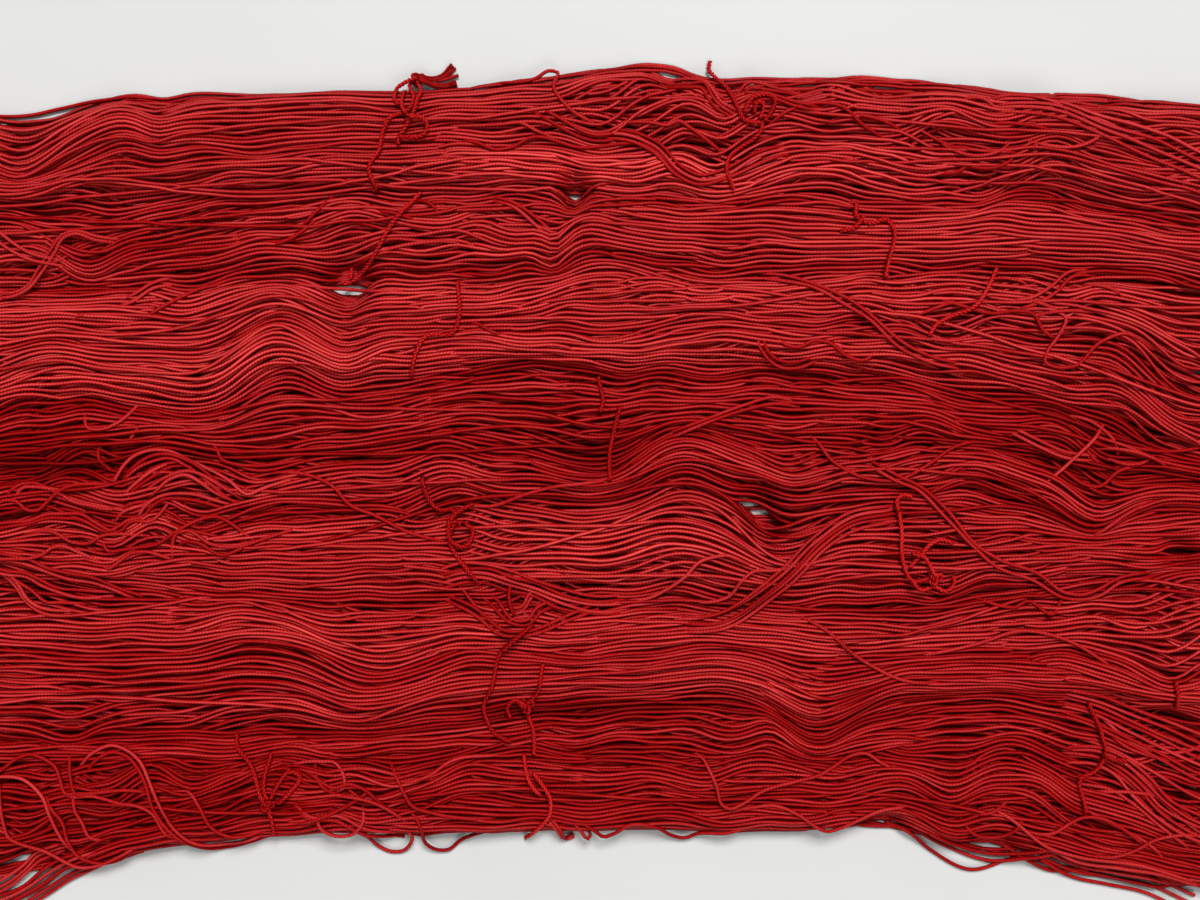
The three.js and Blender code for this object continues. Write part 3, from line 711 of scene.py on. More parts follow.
def tightened(heights: np.ndarray, passes: int) -> np.ndarray:
    """Pulls a line taut over its hollows.

    Args:
        heights: Height of each point along it.
        passes: How often each point is raised to the line between its neighbours.

    Returns:
        The new heights.
    """
    taut = heights.copy()
    for _ in range(passes):
        taut[1:-1] = np.maximum(taut[1:-1], 0.5 * (taut[2:] + taut[:-2]))
    return taut


def carried_frames(path: np.ndarray) -> tuple[np.ndarray, np.ndarray]:
    """Carries a pair of side directions along a path without twist.

    Args:
        path: Points along an open path that doesn't start straight up.

    Returns:
        The two unit directions across the path at each point.
    """
    tangents = np.gradient(path, axis=0)
    tangents /= np.linalg.norm(tangents, axis=1, keepdims=True)
    side = np.cross(tangents[0], (0.0, 0.0, 1.0))
    sides = np.empty_like(path)
    for i, tangent in enumerate(tangents):
        side = side - tangent * np.dot(side, tangent)
        side /= np.linalg.norm(side)
        sides[i] = side
    return sides, np.cross(tangents, sides)


def ring(across: np.ndarray, rise: np.ndarray, sides: int) -> np.ndarray:
    """Sets points of a unit ring round each point of a path.

    Args:
        across: One unit direction across the path at each point.
        rise: The other.
        sides: How many points a ring has.

    Returns:
        The offsets of the ring's points.
    """
    angles = np.arange(sides) * (FULL_TURN / sides)
    return np.cos(angles)[:, None] * across[..., None, :] + np.sin(angles)[:, None] * rise[..., None, :]


class Term:
    """A value inside a material, with Python's operators adding Math nodes."""

    def __init__(self, recipe: "Recipe", socket: bpy.types.NodeSocket) -> None:
        """Wraps a node's output.

        Args:
            recipe: The material that the node is in.
            socket: The output socket.
        """
        self.recipe = recipe
        self.socket = socket

    def __add__(self, other: "Term | float") -> "Term":
        """Sum."""
        return self.recipe.math("ADD", self, other)

    def __radd__(self, other: float) -> "Term":
        """Sum, reflected."""
        return self.recipe.math("ADD", other, self)

    def __sub__(self, other: "Term | float") -> "Term":
        """Difference."""
        return self.recipe.math("SUBTRACT", self, other)

    def __rsub__(self, other: float) -> "Term":
        """Difference, reflected."""
        return self.recipe.math("SUBTRACT", other, self)

    def __mul__(self, other: "Term | float") -> "Term":
        """Product."""
        return self.recipe.math("MULTIPLY", self, other)

    def __rmul__(self, other: float) -> "Term":
        """Product, reflected."""
        return self.recipe.math("MULTIPLY", other, self)

    def sine(self) -> "Term":
        """Sine of an angle in radians."""
        return self.recipe.math("SINE", self)

    def clipped(self) -> "Term":
        """The value held between 0 and 1."""
        return self.recipe.math("ADD", self, 0.0, clamp=True)


class Recipe:
    """A material's node tree, built up from its shader."""

    def __init__(self, name: str) -> None:
        """Starts an empty material.

        Args:
            name: The material's name.
        """
        self.material = bpy.data.materials.new(name)
        self.material.use_nodes = True
        self.tree = self.material.node_tree
        self.tree.nodes.clear()

    def node(self, kind: str, settings: dict | None = None, sockets: dict | None = None) -> bpy.types.Node:
        """Adds a node.

        Args:
            kind: The node's type.
            settings: Its properties, set first; stops are a colour ramp's.
            sockets: Values or terms for its inputs, by name or number.

        Returns:
            The node.
        """
        made = self.tree.nodes.new(kind)
        for key, value in (settings or {}).items():
            if key == "stops":
                elements = made.color_ramp.elements
                for place, _ in value[1:-1]:
                    elements.new(place)
                for element, (place, colour) in zip(elements, value):
                    element.position = place
                    element.color = (*colour, 1.0)
            else:
                setattr(made, key, value)
        for key, value in (sockets or {}).items():
            if isinstance(value, Term):
                self.tree.links.new(value.socket, made.inputs[key])
            else:
                made.inputs[key].default_value = value
        return made

    def term(self, kind: str, settings: dict | None = None, sockets: dict | None = None,
             output: str | int = 0) -> Term:
        """Adds a node and wraps one of its outputs.

        Args:
            kind: The node's type.
            settings: Its properties.
            sockets: Values or terms for its inputs.
            output: Name or number of the output.

        Returns:
            The wrapped output.
        """
        return Term(self, self.node(kind, settings, sockets).outputs[output])

    def math(self, operation: str, *values: "Term | float", clamp: bool = False) -> Term:
        """Adds a Math node.

        Args:
            operation: What it does.
            values: Its inputs.
            clamp: Whether its result is held between 0 and 1.

        Returns:
            Its result.
        """
        settings = {"operation": operation, "use_clamp": clamp}
        return self.term("ShaderNodeMath", settings, dict(enumerate(values)))

    def ramp(self, value: Term, *stops: tuple[float, Colour]) -> Term:
        """Turns a value into a colour.

        Args:
            value: The value.
            stops: Places from 0 to 1, in order, and the colour at each.

        Returns:
            The colour.
        """
        return self.term("ShaderNodeValToRGB", {"stops": stops}, {0: value})

    def finish(self, shader: bpy.types.Node) -> bpy.types.Material:
        """Joins the shader to the material's surface.

        Args:
            shader: The last shader node.

        Returns:
            The finished material.
        """
        self.node("ShaderNodeOutputMaterial", None, {"Surface": Term(self, shader.outputs[0])})
        return self.material


@dataclass(frozen=True)
class YarnFinish:
    """Plied, kettle-dyed wool whose red drifts along each strand, with painted sheen on each strand's crest
    and painted shade down its sides and in the twist of its plies.
    """

    name: str
    deep: Colour = (0.205, 0.0006, 0.0008)
    muted: Colour = (0.36, 0.0052, 0.0068)
    full: Colour = (0.525, 0.0480, 0.0515)
    bright: Colour = (0.90, 0.1470, 0.1350)
    muted_at: float = 0.3
    full_at: float = 0.55
    # What the dye is multiplied by down a strand's side and in the twist of its plies: the crest keeps a
    # paler red as a painted sheen, and the red darkens as painted shade down the sides and in the furrows of
    # the twist.
    sheen_crown: Colour = (1.0, 1.0, 1.0)
    sheen_edge: Colour = (0.92, 0.44, 0.44)
    hollow: Colour = (0.58, 0.06, 0.06)
    hidden: Colour = (0.28, 0.010, 0.010)
    sheen_edge_at: float = 0.15
    shaded_hollow_at: float = 0.5
    side_shade: float = 0.72
    # The twist of the plies, with painted shade in its furrows, the drift of the dye along a strand, and the
    # fuzz of its fibres.
    ply_step: float = 1.0 * MM
    ply_shade: float = 0.15
    ply_height: float = 0.05 * MM
    ply_scatter: float = 211.0
    least_twist: float = 0.3
    twist_range: float = 1.4
    drift_length: float = 28 * MM
    drift_share: float = 0.48
    drift_detail: float = 3.0
    drift_scatter: float = 97.0
    fibre: float = 0.35 * MM
    fibre_share: float = 0.55
    fibre_height: float = 0.8
    fibre_detail: float = 2.0
    # The sheen.
    roughness: float = 0.47
    specular: float = 0.055

    def material(self) -> bpy.types.Material:
        """Builds the yarn's material.

        Returns:
            The material, which reads the strand's own map, shade, dye lot and crest.
        """
        r = Recipe(self.name)
        chart = r.term("ShaderNodeUVMap", {"uv_map": "strand"})
        split = r.node("ShaderNodeSeparateXYZ", None, {0: chart})
        along, around = Term(r, split.outputs[0]), Term(r, split.outputs[1])
        shade, lot, crest = (r.term("ShaderNodeAttribute", {"attribute_name": key}, None, "Fac")
                             for key in ("shade", "lot", "crest"))
        winding = along * (FULL_TURN / self.ply_step) + around * FULL_TURN + lot * self.ply_scatter
        ply = winding.sine() * 0.5 + 0.5
        spot = r.term("ShaderNodeCombineXYZ", None,
                      {0: along * (1.0 / self.drift_length), 1: lot * self.drift_scatter})
        drift = r.term("ShaderNodeTexNoise", {"noise_dimensions": "2D"},
                       {"Vector": spot, "Scale": 1.0, "Detail": self.drift_detail})
        place = r.term("ShaderNodeTexCoord", None, None, "Object")
        fibres = r.term("ShaderNodeTexNoise", None,
                        {"Vector": place, "Scale": 1.0 / self.fibre, "Detail": self.fibre_detail})
        fuzz = fibres - NOISE_MIDDLE
        tone = (shade + (drift - NOISE_MIDDLE) * self.drift_share + fuzz * self.fibre_share).clipped()
        dye = r.ramp(tone, (0.0, self.deep), (self.muted_at, self.muted), (self.full_at, self.full),
                     (1.0, self.bright))
        # Painted shade down each strand's sides, away from its upward-facing crest, and in the furrows
        # between its plies; the crest keeps a paler red as a painted sheen.
        side = 1.0 - crest
        furrow = 1.0 - ply
        twist = furrow * furrow * (self.least_twist + self.twist_range * lot)
        painted_shade = (twist * self.ply_shade + side * (0.5 + 0.5 * side) * self.side_shade).clipped()
        depth = r.ramp(painted_shade, (0.0, self.sheen_crown), (self.sheen_edge_at, self.sheen_edge), (self.shaded_hollow_at, self.hollow),
                       (1.0, self.hidden))
        coloured = r.term("ShaderNodeMix", {"data_type": "RGBA", "blend_type": "MULTIPLY"},
                          {0: 1.0, 6: dye, 7: depth}, 2)
        relief = r.term("ShaderNodeBump", None, {
            "Strength": 1.0, "Distance": self.ply_height, "Height": ply + fuzz * self.fibre_height,
        }, "Normal")
        return r.finish(r.node("ShaderNodeBsdfPrincipled", None, {
            "Base Color": coloured, "Roughness": self.roughness, "Normal": relief,
            "Specular IOR Level": self.specular,
        }))


@dataclass(frozen=True)
class TableFinish:
    """Plain pale laminate."""

    name: str = "pale_table"
    light: Colour = (0.60, 0.60, 0.59)
    shaded: Colour = (0.57, 0.57, 0.56)
    light_at: float = 0.7
    shaded_at: float = 0.3
    mottle: float = 0.12
    mottle_detail: float = 3.0
    roughness: float = 0.6

    def material(self) -> bpy.types.Material:
        """Builds the table's material.

        Returns:
            The material, with a faint mottle.
        """
        r = Recipe(self.name)
        place = r.term("ShaderNodeTexCoord", None, None, "Object")
        cloud = r.term("ShaderNodeTexNoise", None,
                       {"Vector": place, "Scale": 1.0 / self.mottle, "Detail": self.mottle_detail})
        colour = r.ramp(cloud, (self.shaded_at, self.shaded), (self.light_at, self.light))
        return r.finish(r.node("ShaderNodeBsdfPrincipled", None,
                               {"Base Color": colour, "Roughness": self.roughness}))


class TubeBatch:
    """Gathers many tubes into the arrays of one mesh."""

    QUAD = 4
    PLY_SIDES = 5
    PLY_OFFSET = 0.50
    PLY_SIZE = 0.54

    def __init__(self) -> None:
        """Starts with nothing."""
        self.points: list[np.ndarray] = []
        self.corners: list[np.ndarray] = []
        self.charts: list[np.ndarray] = []
        self.sizes: list[np.ndarray] = []
        self.marks: dict[str, list[np.ndarray]] = {"shade": [], "lot": [], "crest": []}
        self.count = 0

    def _skin(self, paths: np.ndarray, offsets: np.ndarray, along: np.ndarray, shades: np.ndarray,
              lots: np.ndarray, closed: bool) -> None:
        """Adds the faces of tubes.

        Args:
            paths: Points along each tube's middle.
            offsets: Each side's distance from them, by tube, point and side.
            along: Distance along each tube, with the closing distance last where it is closed.
            shades: Shade by tube and point.
            lots: Dye lot of each tube.
            closed: Whether each tube's last ring joins its first.
        """
        rings = paths[:, :, None] + offsets
        tubes, count, sides = rings.shape[:3]
        numbers = self.count + np.arange(tubes * count * sides).reshape(tubes, count, sides)
        here = numbers if closed else numbers[:, :-1]
        ahead = np.roll(numbers, -1, axis=1) if closed else numbers[:, 1:]
        quads = np.stack([here, np.roll(here, -1, axis=2), np.roll(ahead, -1, axis=2), ahead], axis=-1)
        start = np.broadcast_to(along[:, :-1, None], here.shape)
        stop = np.broadcast_to(along[:, 1:, None], here.shape)
        turn = np.broadcast_to(np.arange(sides) / sides, here.shape)
        after = turn + 1.0 / sides
        chart = np.stack([start, turn, start, after, stop, after, stop, turn], axis=-1)
        self.points.append(rings.reshape(-1, 3))
        self.marks["shade"].append(np.repeat(np.broadcast_to(shades, (tubes, count)).ravel(), sides))
        self.marks["lot"].append(np.repeat(lots, count * sides))
        # The crest: how far each point of the skin faces up, from which the finish paints sheen and shade.
        self.marks["crest"].append((offsets[..., 2] / np.linalg.norm(offsets, axis=-1)).ravel())
        self.corners.append(quads.reshape(-1))
        self.charts.append(chart.reshape(-1, 2))
        self.sizes.append(np.full(quads.size // self.QUAD, self.QUAD))
        if not closed:
            caps = np.concatenate([numbers[:, 0, ::-1], numbers[:, -1]])
            ends = np.concatenate([along[:, 0], along[:, -1]])
            self.corners.append(caps.reshape(-1))
            self.charts.append(np.stack([np.repeat(ends, sides), np.zeros(caps.size)], axis=-1))
            self.sizes.append(np.full(len(caps), sides))
        self.count += rings.size // 3

    def add_loops(self, paths: np.ndarray, radius: float, sides: int, shades: np.ndarray,
                  lots: np.ndarray) -> None:
        """Adds closed turns of yarn that run along x and turn back in the upright plane.

        Args:
            paths: Points by turn.
            radius: Half the yarn's thickness.
            sides: Sides of the yarn's section.
            shades: Shade by turn and point.
            lots: Dye lot of each turn.
        """
        tangents = np.roll(paths, -1, axis=1) - np.roll(paths, 1, axis=1)
        tangents /= np.linalg.norm(tangents, axis=2, keepdims=True)
        across = np.zeros_like(paths)
        across[..., 1] = 1.0
        across -= tangents * tangents[..., 1:2]
        across /= np.linalg.norm(across, axis=2, keepdims=True)
        offsets = radius * ring(across, np.cross(tangents, across), sides)
        gaps = np.linalg.norm(np.roll(paths, -1, axis=1) - paths, axis=2)
        along = np.concatenate([np.zeros((len(paths), 1)), np.cumsum(gaps, axis=1)], axis=1)
        self._skin(paths, offsets, along, shades, lots, True)

    def add_path(self, path: np.ndarray, radius: float, sides: int, shade: float, lot: float) -> None:
        """Adds one open tube.

        Args:
            path: Points along it.
            radius: Half its thickness.
            sides: Sides of its section.
            shade: Its shade.
            lot: Its dye lot.
        """
        offsets = radius * ring(*carried_frames(path), sides)
        along = distance_along(path)
        self._skin(path[None], offsets[None], along[None], np.array(shade), np.array([lot]), False)

    def add_twist(self, path: np.ndarray, radius: float, turn: float, shade: float, lot: float) -> None:
        """Adds a cord of two plies that turn about each other.

        Args:
            path: Points along the cord's middle, closely spaced.
            radius: Half the cord's thickness.
            turn: Length of one turn of a ply.
            shade: The cord's shade.
            lot: Its dye lot.
        """
        across, rise = carried_frames(path)
        along = distance_along(path)
        for start in (0.0, math.pi):
            angle = (start + along * (FULL_TURN / turn))[:, None]
            ply = path + self.PLY_OFFSET * radius * (np.cos(angle) * across + np.sin(angle) * rise)
            self.add_path(ply, self.PLY_SIZE * radius, self.PLY_SIDES, shade, lot)

    def build(self, name: str, material: bpy.types.Material, slot: Slot) -> bpy.types.Object:
        """Makes the mesh and its object.

        Args:
            name: The piece's name.
            material: Its finish.
            slot: The record's slot meant for its finish; not used.

        Returns:
            The piece, which rides on the skein's body.
        """
        mesh = bpy.data.meshes.new(name)
        points, corners = np.concatenate(self.points), np.concatenate(self.corners)
        sizes = np.concatenate(self.sizes)
        mesh.vertices.add(len(points))
        mesh.vertices.foreach_set("co", points.astype(np.float32).ravel())
        mesh.loops.add(len(corners))
        mesh.loops.foreach_set("vertex_index", corners.astype(np.int32))
        mesh.polygons.add(len(sizes))
        mesh.polygons.foreach_set("loop_start", (np.cumsum(sizes) - sizes).astype(np.int32))
        mesh.update(calc_edges=True)
        mesh.polygons.foreach_set("use_smooth", sizes == self.QUAD)
        chart = mesh.uv_layers.new(name="strand")
        chart.data.foreach_set("uv", np.concatenate(self.charts).astype(np.float32).ravel())
        for key, values in self.marks.items():
            attribute = mesh.attributes.new(key, "FLOAT", "POINT")
            attribute.data.foreach_set("value", np.concatenate(values).astype(np.float32))
        mesh.materials.append(material)
        piece = bpy.data.objects.new(name, mesh)
        bpy.context.collection.objects.link(piece)
        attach(piece, BODY)
        LOG.info("%s: %d triangles", name, int((sizes - 2).sum()))
        return piece


@dataclass
class Flow:
    """The course of the strands in plan."""

    half_length: float = 340 * MM
    fine_reach: float = 190 * MM
    middle: float = -9 * MM
    half_width: float = 124 * MM
    taper: float = 0.12
    end_bow: float = 62 * MM
    end_power: float = 3.4
    sink: float = 7.0 * MM
    hollow: float = 3.0 * MM
    # How far a parting is felt, in its half widths.
    push_fade: float = 4.0
    push_most: float = 2.0
    sink_spread: float = 2.5
    grooves: np.ndarray = field(init=False)
    shares: np.ndarray = field(init=False)

    def __post_init__(self) -> None:
        """Reads the table of grooves."""
        self.grooves = np.array([row for row, _ in GROOVES]) * MM
        self.shares = np.concatenate([[0.0], np.cumsum(-np.diff(self.grooves[:, 1:-1].mean(axis=1)))])

    @property
    def width(self) -> float:
        """Mean width of the skein."""
        return float(self.shares[-1])

    def grooves_at(self, sections: np.ndarray) -> np.ndarray:
        """Finds the sideways places of the grooves.

        Args:
            sections: Places along the skein.

        Returns:
            A row for each groove and a column for each place.
        """
        marks = np.array(MARKS) * MM
        spacing = marks[1] - marks[0]
        slopes = np.zeros_like(self.grooves)
        slopes[:, 1:-1] = (self.grooves[:, 2:] - self.grooves[:, :-2]) / 2.0
        held = np.clip(sections, marks[0], marks[-1])
        i = np.minimum(((held - marks[0]) / spacing).astype(int), len(marks) - 2)
        t = (held - marks[i]) / spacing
        return hermite(t, self.grooves[:, i], self.grooves[:, i + 1], slopes[:, i], slopes[:, i + 1])

    def place(self, across: np.ndarray, sections: np.ndarray) -> tuple[np.ndarray, np.ndarray]:
        """Lays strands out in plan.

        Args:
            across: Distance of each strand from the far edge, on the mean width, alone or by section.
            sections: Places along the skein.

        Returns:
            The strands' x and y, by strand and section.
        """
        if across.ndim == 1:
            across = np.repeat(across[:, None], len(sections), axis=1)
        columns = zip(across.T, self.grooves_at(sections).T)
        level = np.stack([np.interp(strands, self.shares, grooves) for strands, grooves in columns], axis=1)
        near = smoothstep(np.abs(sections), self.fine_reach, self.half_length)
        y = level + bumps(SWELLS, sections[None], level) * MM
        y = self.middle + (y - self.middle) * (1.0 - self.taper * near)
        out = np.minimum(1.0, np.abs(level - self.middle) / self.half_width) ** self.end_power
        return sections - np.sign(sections) * self.end_bow * out * near, y

    def part(self, x: np.ndarray, y: np.ndarray, z: np.ndarray, floor: float) -> np.ndarray:
        """Draws strands aside where they part, and lets them sink there.

        Args:
            x: Places along the skein.
            y: Places across it.
            z: Heights.
            floor: Height that nothing sinks under.

        Returns:
            The moved points.
        """
        for centre, level, length, width, slope in PARTINGS:
            half = width * MM
            off = y - (level * MM + slope * (x - centre * MM))
            middle = np.argmin(np.abs(x - centre * MM), axis=1)[:, None]
            way = np.where(np.take_along_axis(off, middle, 1) < 0.0, -1.0, 1.0)
            near = np.exp(-(((x / MM - centre) / length) ** 2))
            beyond = np.minimum(np.maximum(0.0, -way * off), self.push_most * half)
            push = near * (half * np.exp(-np.abs(off) / (self.push_fade * half)) + beyond)
            drop = self.sink * near * np.exp(-((off / (self.sink_spread * half + self.hollow)) ** 2))
            y = y + way * push
            z = np.maximum(np.minimum(z, floor), z - drop)
        return np.stack([x, y, z], axis=-1)


@dataclass
class Surface:
    """Height of a solid's upper side over a fine grid, with part of its hollows filled by loose yarn."""

    node: str
    cell: float = 1.5 * MM
    fill: float = 0.6
    fill_reach: int = 4
    well_inside: float = 0.999
    above: float = 1.0
    xs: np.ndarray = field(init=False)
    ys: np.ndarray = field(init=False)
    heights: np.ndarray = field(init=False)

    def __post_init__(self) -> None:
        """Reads the solid from above."""
        low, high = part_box(self.node)
        tree = BVHTree.FromObject(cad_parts[self.node], bpy.context.evaluated_depsgraph_get())
        self.xs = np.arange(low.x - self.cell, high.x + 2 * self.cell, self.cell)
        self.ys = np.arange(low.y - self.cell, high.y + 2 * self.cell, self.cell)
        bare = np.zeros((len(self.xs), len(self.ys)))
        down = Vector((0.0, 0.0, -1.0))
        for (i, x), (j, y) in itertools.product(enumerate(self.xs), enumerate(self.ys)):
            hit = tree.ray_cast(Vector((x, y, self.above)), down)[0]
            if hit is not None:
                bare[i, j] = hit.z
        inside, level = spread(bare > 0.0, self.fill_reach), spread(bare, self.fill_reach)
        filled = bare + self.fill * np.maximum(0.0, level - bare)
        self.heights = np.where(inside > self.well_inside, filled, bare)

    def at(self, x: np.ndarray, y: np.ndarray) -> np.ndarray:
        """Finds the height at places, level beyond the grid.

        Args:
            x: Places along the skein.
            y: Places across it.

        Returns:
            The heights.
        """
        # Places are held just short of the grid's last line.
        short = 1.001
        u = np.clip((x - self.xs[0]) / (self.xs[1] - self.xs[0]), 0, len(self.xs) - short)
        v = np.clip((y - self.ys[0]) / (self.ys[1] - self.ys[0]), 0, len(self.ys) - short)
        i, j = u.astype(int), v.astype(int)
        s, t = u - i, v - j
        h = self.heights
        return (
            h[i, j] * (1 - s) * (1 - t)
            + h[i + 1, j] * s * (1 - t)
            + h[i, j + 1] * (1 - s) * t
            + h[i + 1, j + 1] * s * t
        )


@dataclass
class Relief:
    """Height of the topmost yarn over a fine grid, raised as strands are laid."""

    cell: float = 0.5 * MM
    margin: float = 20 * MM
    rim: int = 3
    near_reach: float = 1.5 * MM
    wide_reach: float = 7 * MM
    low: np.ndarray = field(init=False)
    heights: np.ndarray = field(init=False)

    def __post_init__(self) -> None:
        """Starts with the bare table under the skein."""
        low, high = CAD_BOX
        self.low = np.array((low.x - self.margin, low.y - self.margin))
        size = (np.array((high.x + self.margin, high.y + self.margin)) - self.low) / self.cell
        self.heights = np.zeros(size.astype(int) + 1)

    def _cells(self, places: np.ndarray) -> np.ndarray:
        """Grid cells of places, held inside the grid."""
        edge = np.array(self.heights.shape) - 1 - self.rim
        return np.clip(((places - self.low) / self.cell).astype(int), self.rim, edge)

    def _under(self, places: np.ndarray, radius: float) -> Iterator[tuple[tuple, float]]:
        """Goes through the cells that a strand covers.

        Args:
            places: Plan places along its middle.
            radius: Half its thickness.

        Yields:
            A cell beside each place, and how far the strand's skin there is from its middle's height.
        """
        reach = int(radius / self.cell)
        cells = self._cells(places)
        for i, j in itertools.product(range(-reach, reach + 1), repeat=2):
            off = math.hypot(i, j) * self.cell
            if off < radius:
                yield (cells[:, 0] + i, cells[:, 1] + j), math.sqrt(radius**2 - off**2)

    def lay(self, points: np.ndarray, radius: float) -> None:
        """Raises the cells under a strand.

        Args:
            points: Closely spaced points along its middle.
            radius: Half its thickness.
        """
        for cells, rise in self._under(points[:, :2], radius):
            np.maximum.at(self.heights, cells, points[:, 2] + rise)

    def over(self, places: np.ndarray, radius: float) -> np.ndarray:
        """Finds the height that a strand of this thickness lies at.

        Args:
            places: Plan places along its middle.
            radius: Half its thickness.

        Returns:
            The height of its middle at each place.
        """
        best = np.full(len(places), radius)
        for cells, rise in self._under(places, radius):
            best = np.maximum(best, self.heights[cells] + rise)
        return best

    def standing(self, points: np.ndarray) -> tuple[np.ndarray, np.ndarray]:
        """Finds how far places stand over the yarn round them, and how deep points lie under it.

        Args:
            points: Points of strands, in rows.

        Returns:
            The rise of the yarn there over its wider surroundings, and each point's depth, both in metres.
        """
        near = spread(self.heights, int(self.near_reach / self.cell))
        wide = spread(self.heights, int(self.wide_reach / self.cell))
        cells = self._cells(points[..., :2].reshape(-1, 2))
        i, j = cells[:, 0], cells[:, 1]
        rise = (near - wide)[i, j].reshape(points.shape[:-1])
        return rise, near[i, j].reshape(points.shape[:-1]) - points[..., 2]


@dataclass
class Turns:
    """The turns of yarn that make up the skein: an upper run, a lower run and two loop ends each."""

    flow: Flow
    surface: Surface
    relief: Relief
    # The strands, and the points along them.
    radius: float = 0.585 * MM
    spacing: float = 1.36 * MM
    pitch: float = 1.40 * MM
    sides: int = 4
    first_at: float = 0.35
    last_spare: float = 0.4
    fine_step: float = 2.5 * MM
    coarse_step: float = 9.0 * MM
    relief_steps: int = 4
    # The loop ends.
    end_reach: float = 334 * MM
    nose: float = 318 * MM
    ragged: float = 14 * MM
    ragged_from: float = 240 * MM
    bight_points: int = 5
    # How far single strands stray sideways, over what length, and how much of it is left in calm places.
    wander: float = 0.6 * MM
    wander_length: float = 30 * MM
    wander_calm: float = 0.3
    wander_gain: float = 1.2
    fret: float = 0.3
    fret_length: float = 13 * MM
    fret_calm: float = 0.4
    wiggle: float = 0.14 * MM
    wiggle_length: float = 8 * MM
    # The loose turns on top: how many, how far from the edges, and how far and how long they stray.
    loose_count: int = 26
    loose_from: float = 0.05
    loose_stray: float = 2.6 * MM
    loose_length: float = 60 * MM
    # How far neighbouring strands stray together, and how both are held back at the edges.
    calm: float = 0.4
    drift: float = 3.2 * MM
    drift_reach: tuple[float, float] = (15 * MM, 10 * MM)
    wave: float = 1.0 * MM
    wave_reach: tuple[float, float] = (7.5 * MM, 4.5 * MM)
    wave_calm: float = 0.2
    wave_gain: float = 1.2
    edge_hold: float = 0.3
    edge_reach: float = 9 * MM
    edge_gap: float = 0.2 * MM
    # Which sheet lies over the other, with depths in strands.
    lean_sharpness: float = 3.0
    lean_reach: tuple[float, float] = (45 * MM, 9 * MM)
    comb: float = 10.0
    sheet_depth: float = 0.55
    depth_fret: float = 0.10
    loose_lift: float = 1.0
    # How the strands settle beside and on each other.
    passes: int = 90
    look_again: int = 6
    neighbours: int = 8
    least_gap: float = 1e-7
    push_share: float = 0.25
    keep_across: float = 0.95
    keep_up: float = 0.93
    stiffness: float = 0.18
    # The runs under the others, with heights in strands.
    parted_floor: float = 1.3
    part_marks: tuple[float, ...] = (-0.8, 0.0, 0.8)
    under_points: int = 24
    under_share: float = 0.955
    second_layer: float = 0.95
    filling_layer: float = 1.5
    filling_pitch: float = 1.8 * MM
    filling_radius: float = 0.95 * MM
    filling_depth: float = 3.0 * MM
    filling_inset: float = 2.2
    filling_least: float = 2.5
    # The filling's shade is set low: painted shade for how deep it lies.
    filling_shade: float = 0.35
    filling_stride: int = 3
    # The shades: each turn's own, painted shade beside the grooves and where the yarn lies deep, and painted
    # light and shade by how far it stands out.
    tone_spread: float = 0.06
    groove_shade: float = 0.10
    groove_reach: float = 2.6 * MM
    loose_shade: float = 0.10
    rise_shade: float = 0.05
    rise_most: float = 1.2
    depth_shade: float = 0.10
    depth_most: float = 1.5
    rng: np.random.Generator = field(default_factory=lambda: np.random.default_rng(SEED))
    stations: np.ndarray = field(init=False)
    across: np.ndarray = field(init=False)
    sheets: np.ndarray = field(init=False)

    def __post_init__(self) -> None:
        """Spreads the turns over the width, and their points over the length."""
        fine = np.arange(0.0, self.flow.fine_reach, self.fine_step)
        coarse = np.linspace(fine[-1], self.end_reach, int((self.end_reach - fine[-1]) / self.coarse_step))
        half = np.concatenate([fine, coarse[1:]])
        self.stations = np.concatenate([-half[:0:-1], half])
        count = int(self.flow.width / self.pitch - self.last_spare)
        first = (np.arange(count) + self.first_at) * self.pitch
        second = np.clip(first + 0.5 * self.pitch, 0.0, self.flow.width)
        loose = self.rng.uniform(self.loose_from, 1.0 - self.loose_from, self.loose_count) * self.flow.width
        self.across = np.concatenate([first, second, loose])
        self.sheets = np.repeat(list(Sheet), [count, count, self.loose_count])

    def noise(self, length: float) -> np.ndarray:
        """One smooth random curve for each turn."""
        return smooth_noise(self.rng, len(self.across), self.stations, length)

    def meander(self) -> np.ndarray:
        """Lets the turns stray sideways, alone and in sheets.

        Returns:
            Each turn's distance from the far edge at each station.
        """
        unruly = np.clip(self.calm + bumps(UNRULY, *self.flow.place(self.across, self.stations)), 0.0, 1.0)
        alone = self.noise(self.wander_length) * self.wander * (self.wander_calm + self.wander_gain * unruly)
        alone += self.noise(self.fret_length) * self.fret * self.wander * (self.fret_calm + unruly)
        long_waves = smooth_noise(self.rng, self.loose_count, self.stations, self.loose_length)
        alone[self.sheets == Sheet.LOOSE] = long_waves * self.loose_stray
        together = np.zeros_like(alone)
        for sheet in (Sheet.FIRST, Sheet.SECOND):
            mine = self.sheets == sheet
            drift, wave = (ripple(self.rng, self.across[mine], self.stations, reach)
                           for reach in (self.drift_reach, self.wave_reach))
            together[mine] = drift * self.drift * unruly[mine]
            together[mine] += wave * self.wave * (self.wave_calm + self.wave_gain * unruly[mine])
        inward = smoothstep(np.minimum(self.across, self.flow.width - self.across), 0.0, self.edge_reach)
        free = self.edge_hold + (1.0 - self.edge_hold) * inward
        strayed = self.across[:, None] + (alone + together) * free[:, None]
        return np.clip(strayed, self.edge_gap, self.flow.width - self.edge_gap)

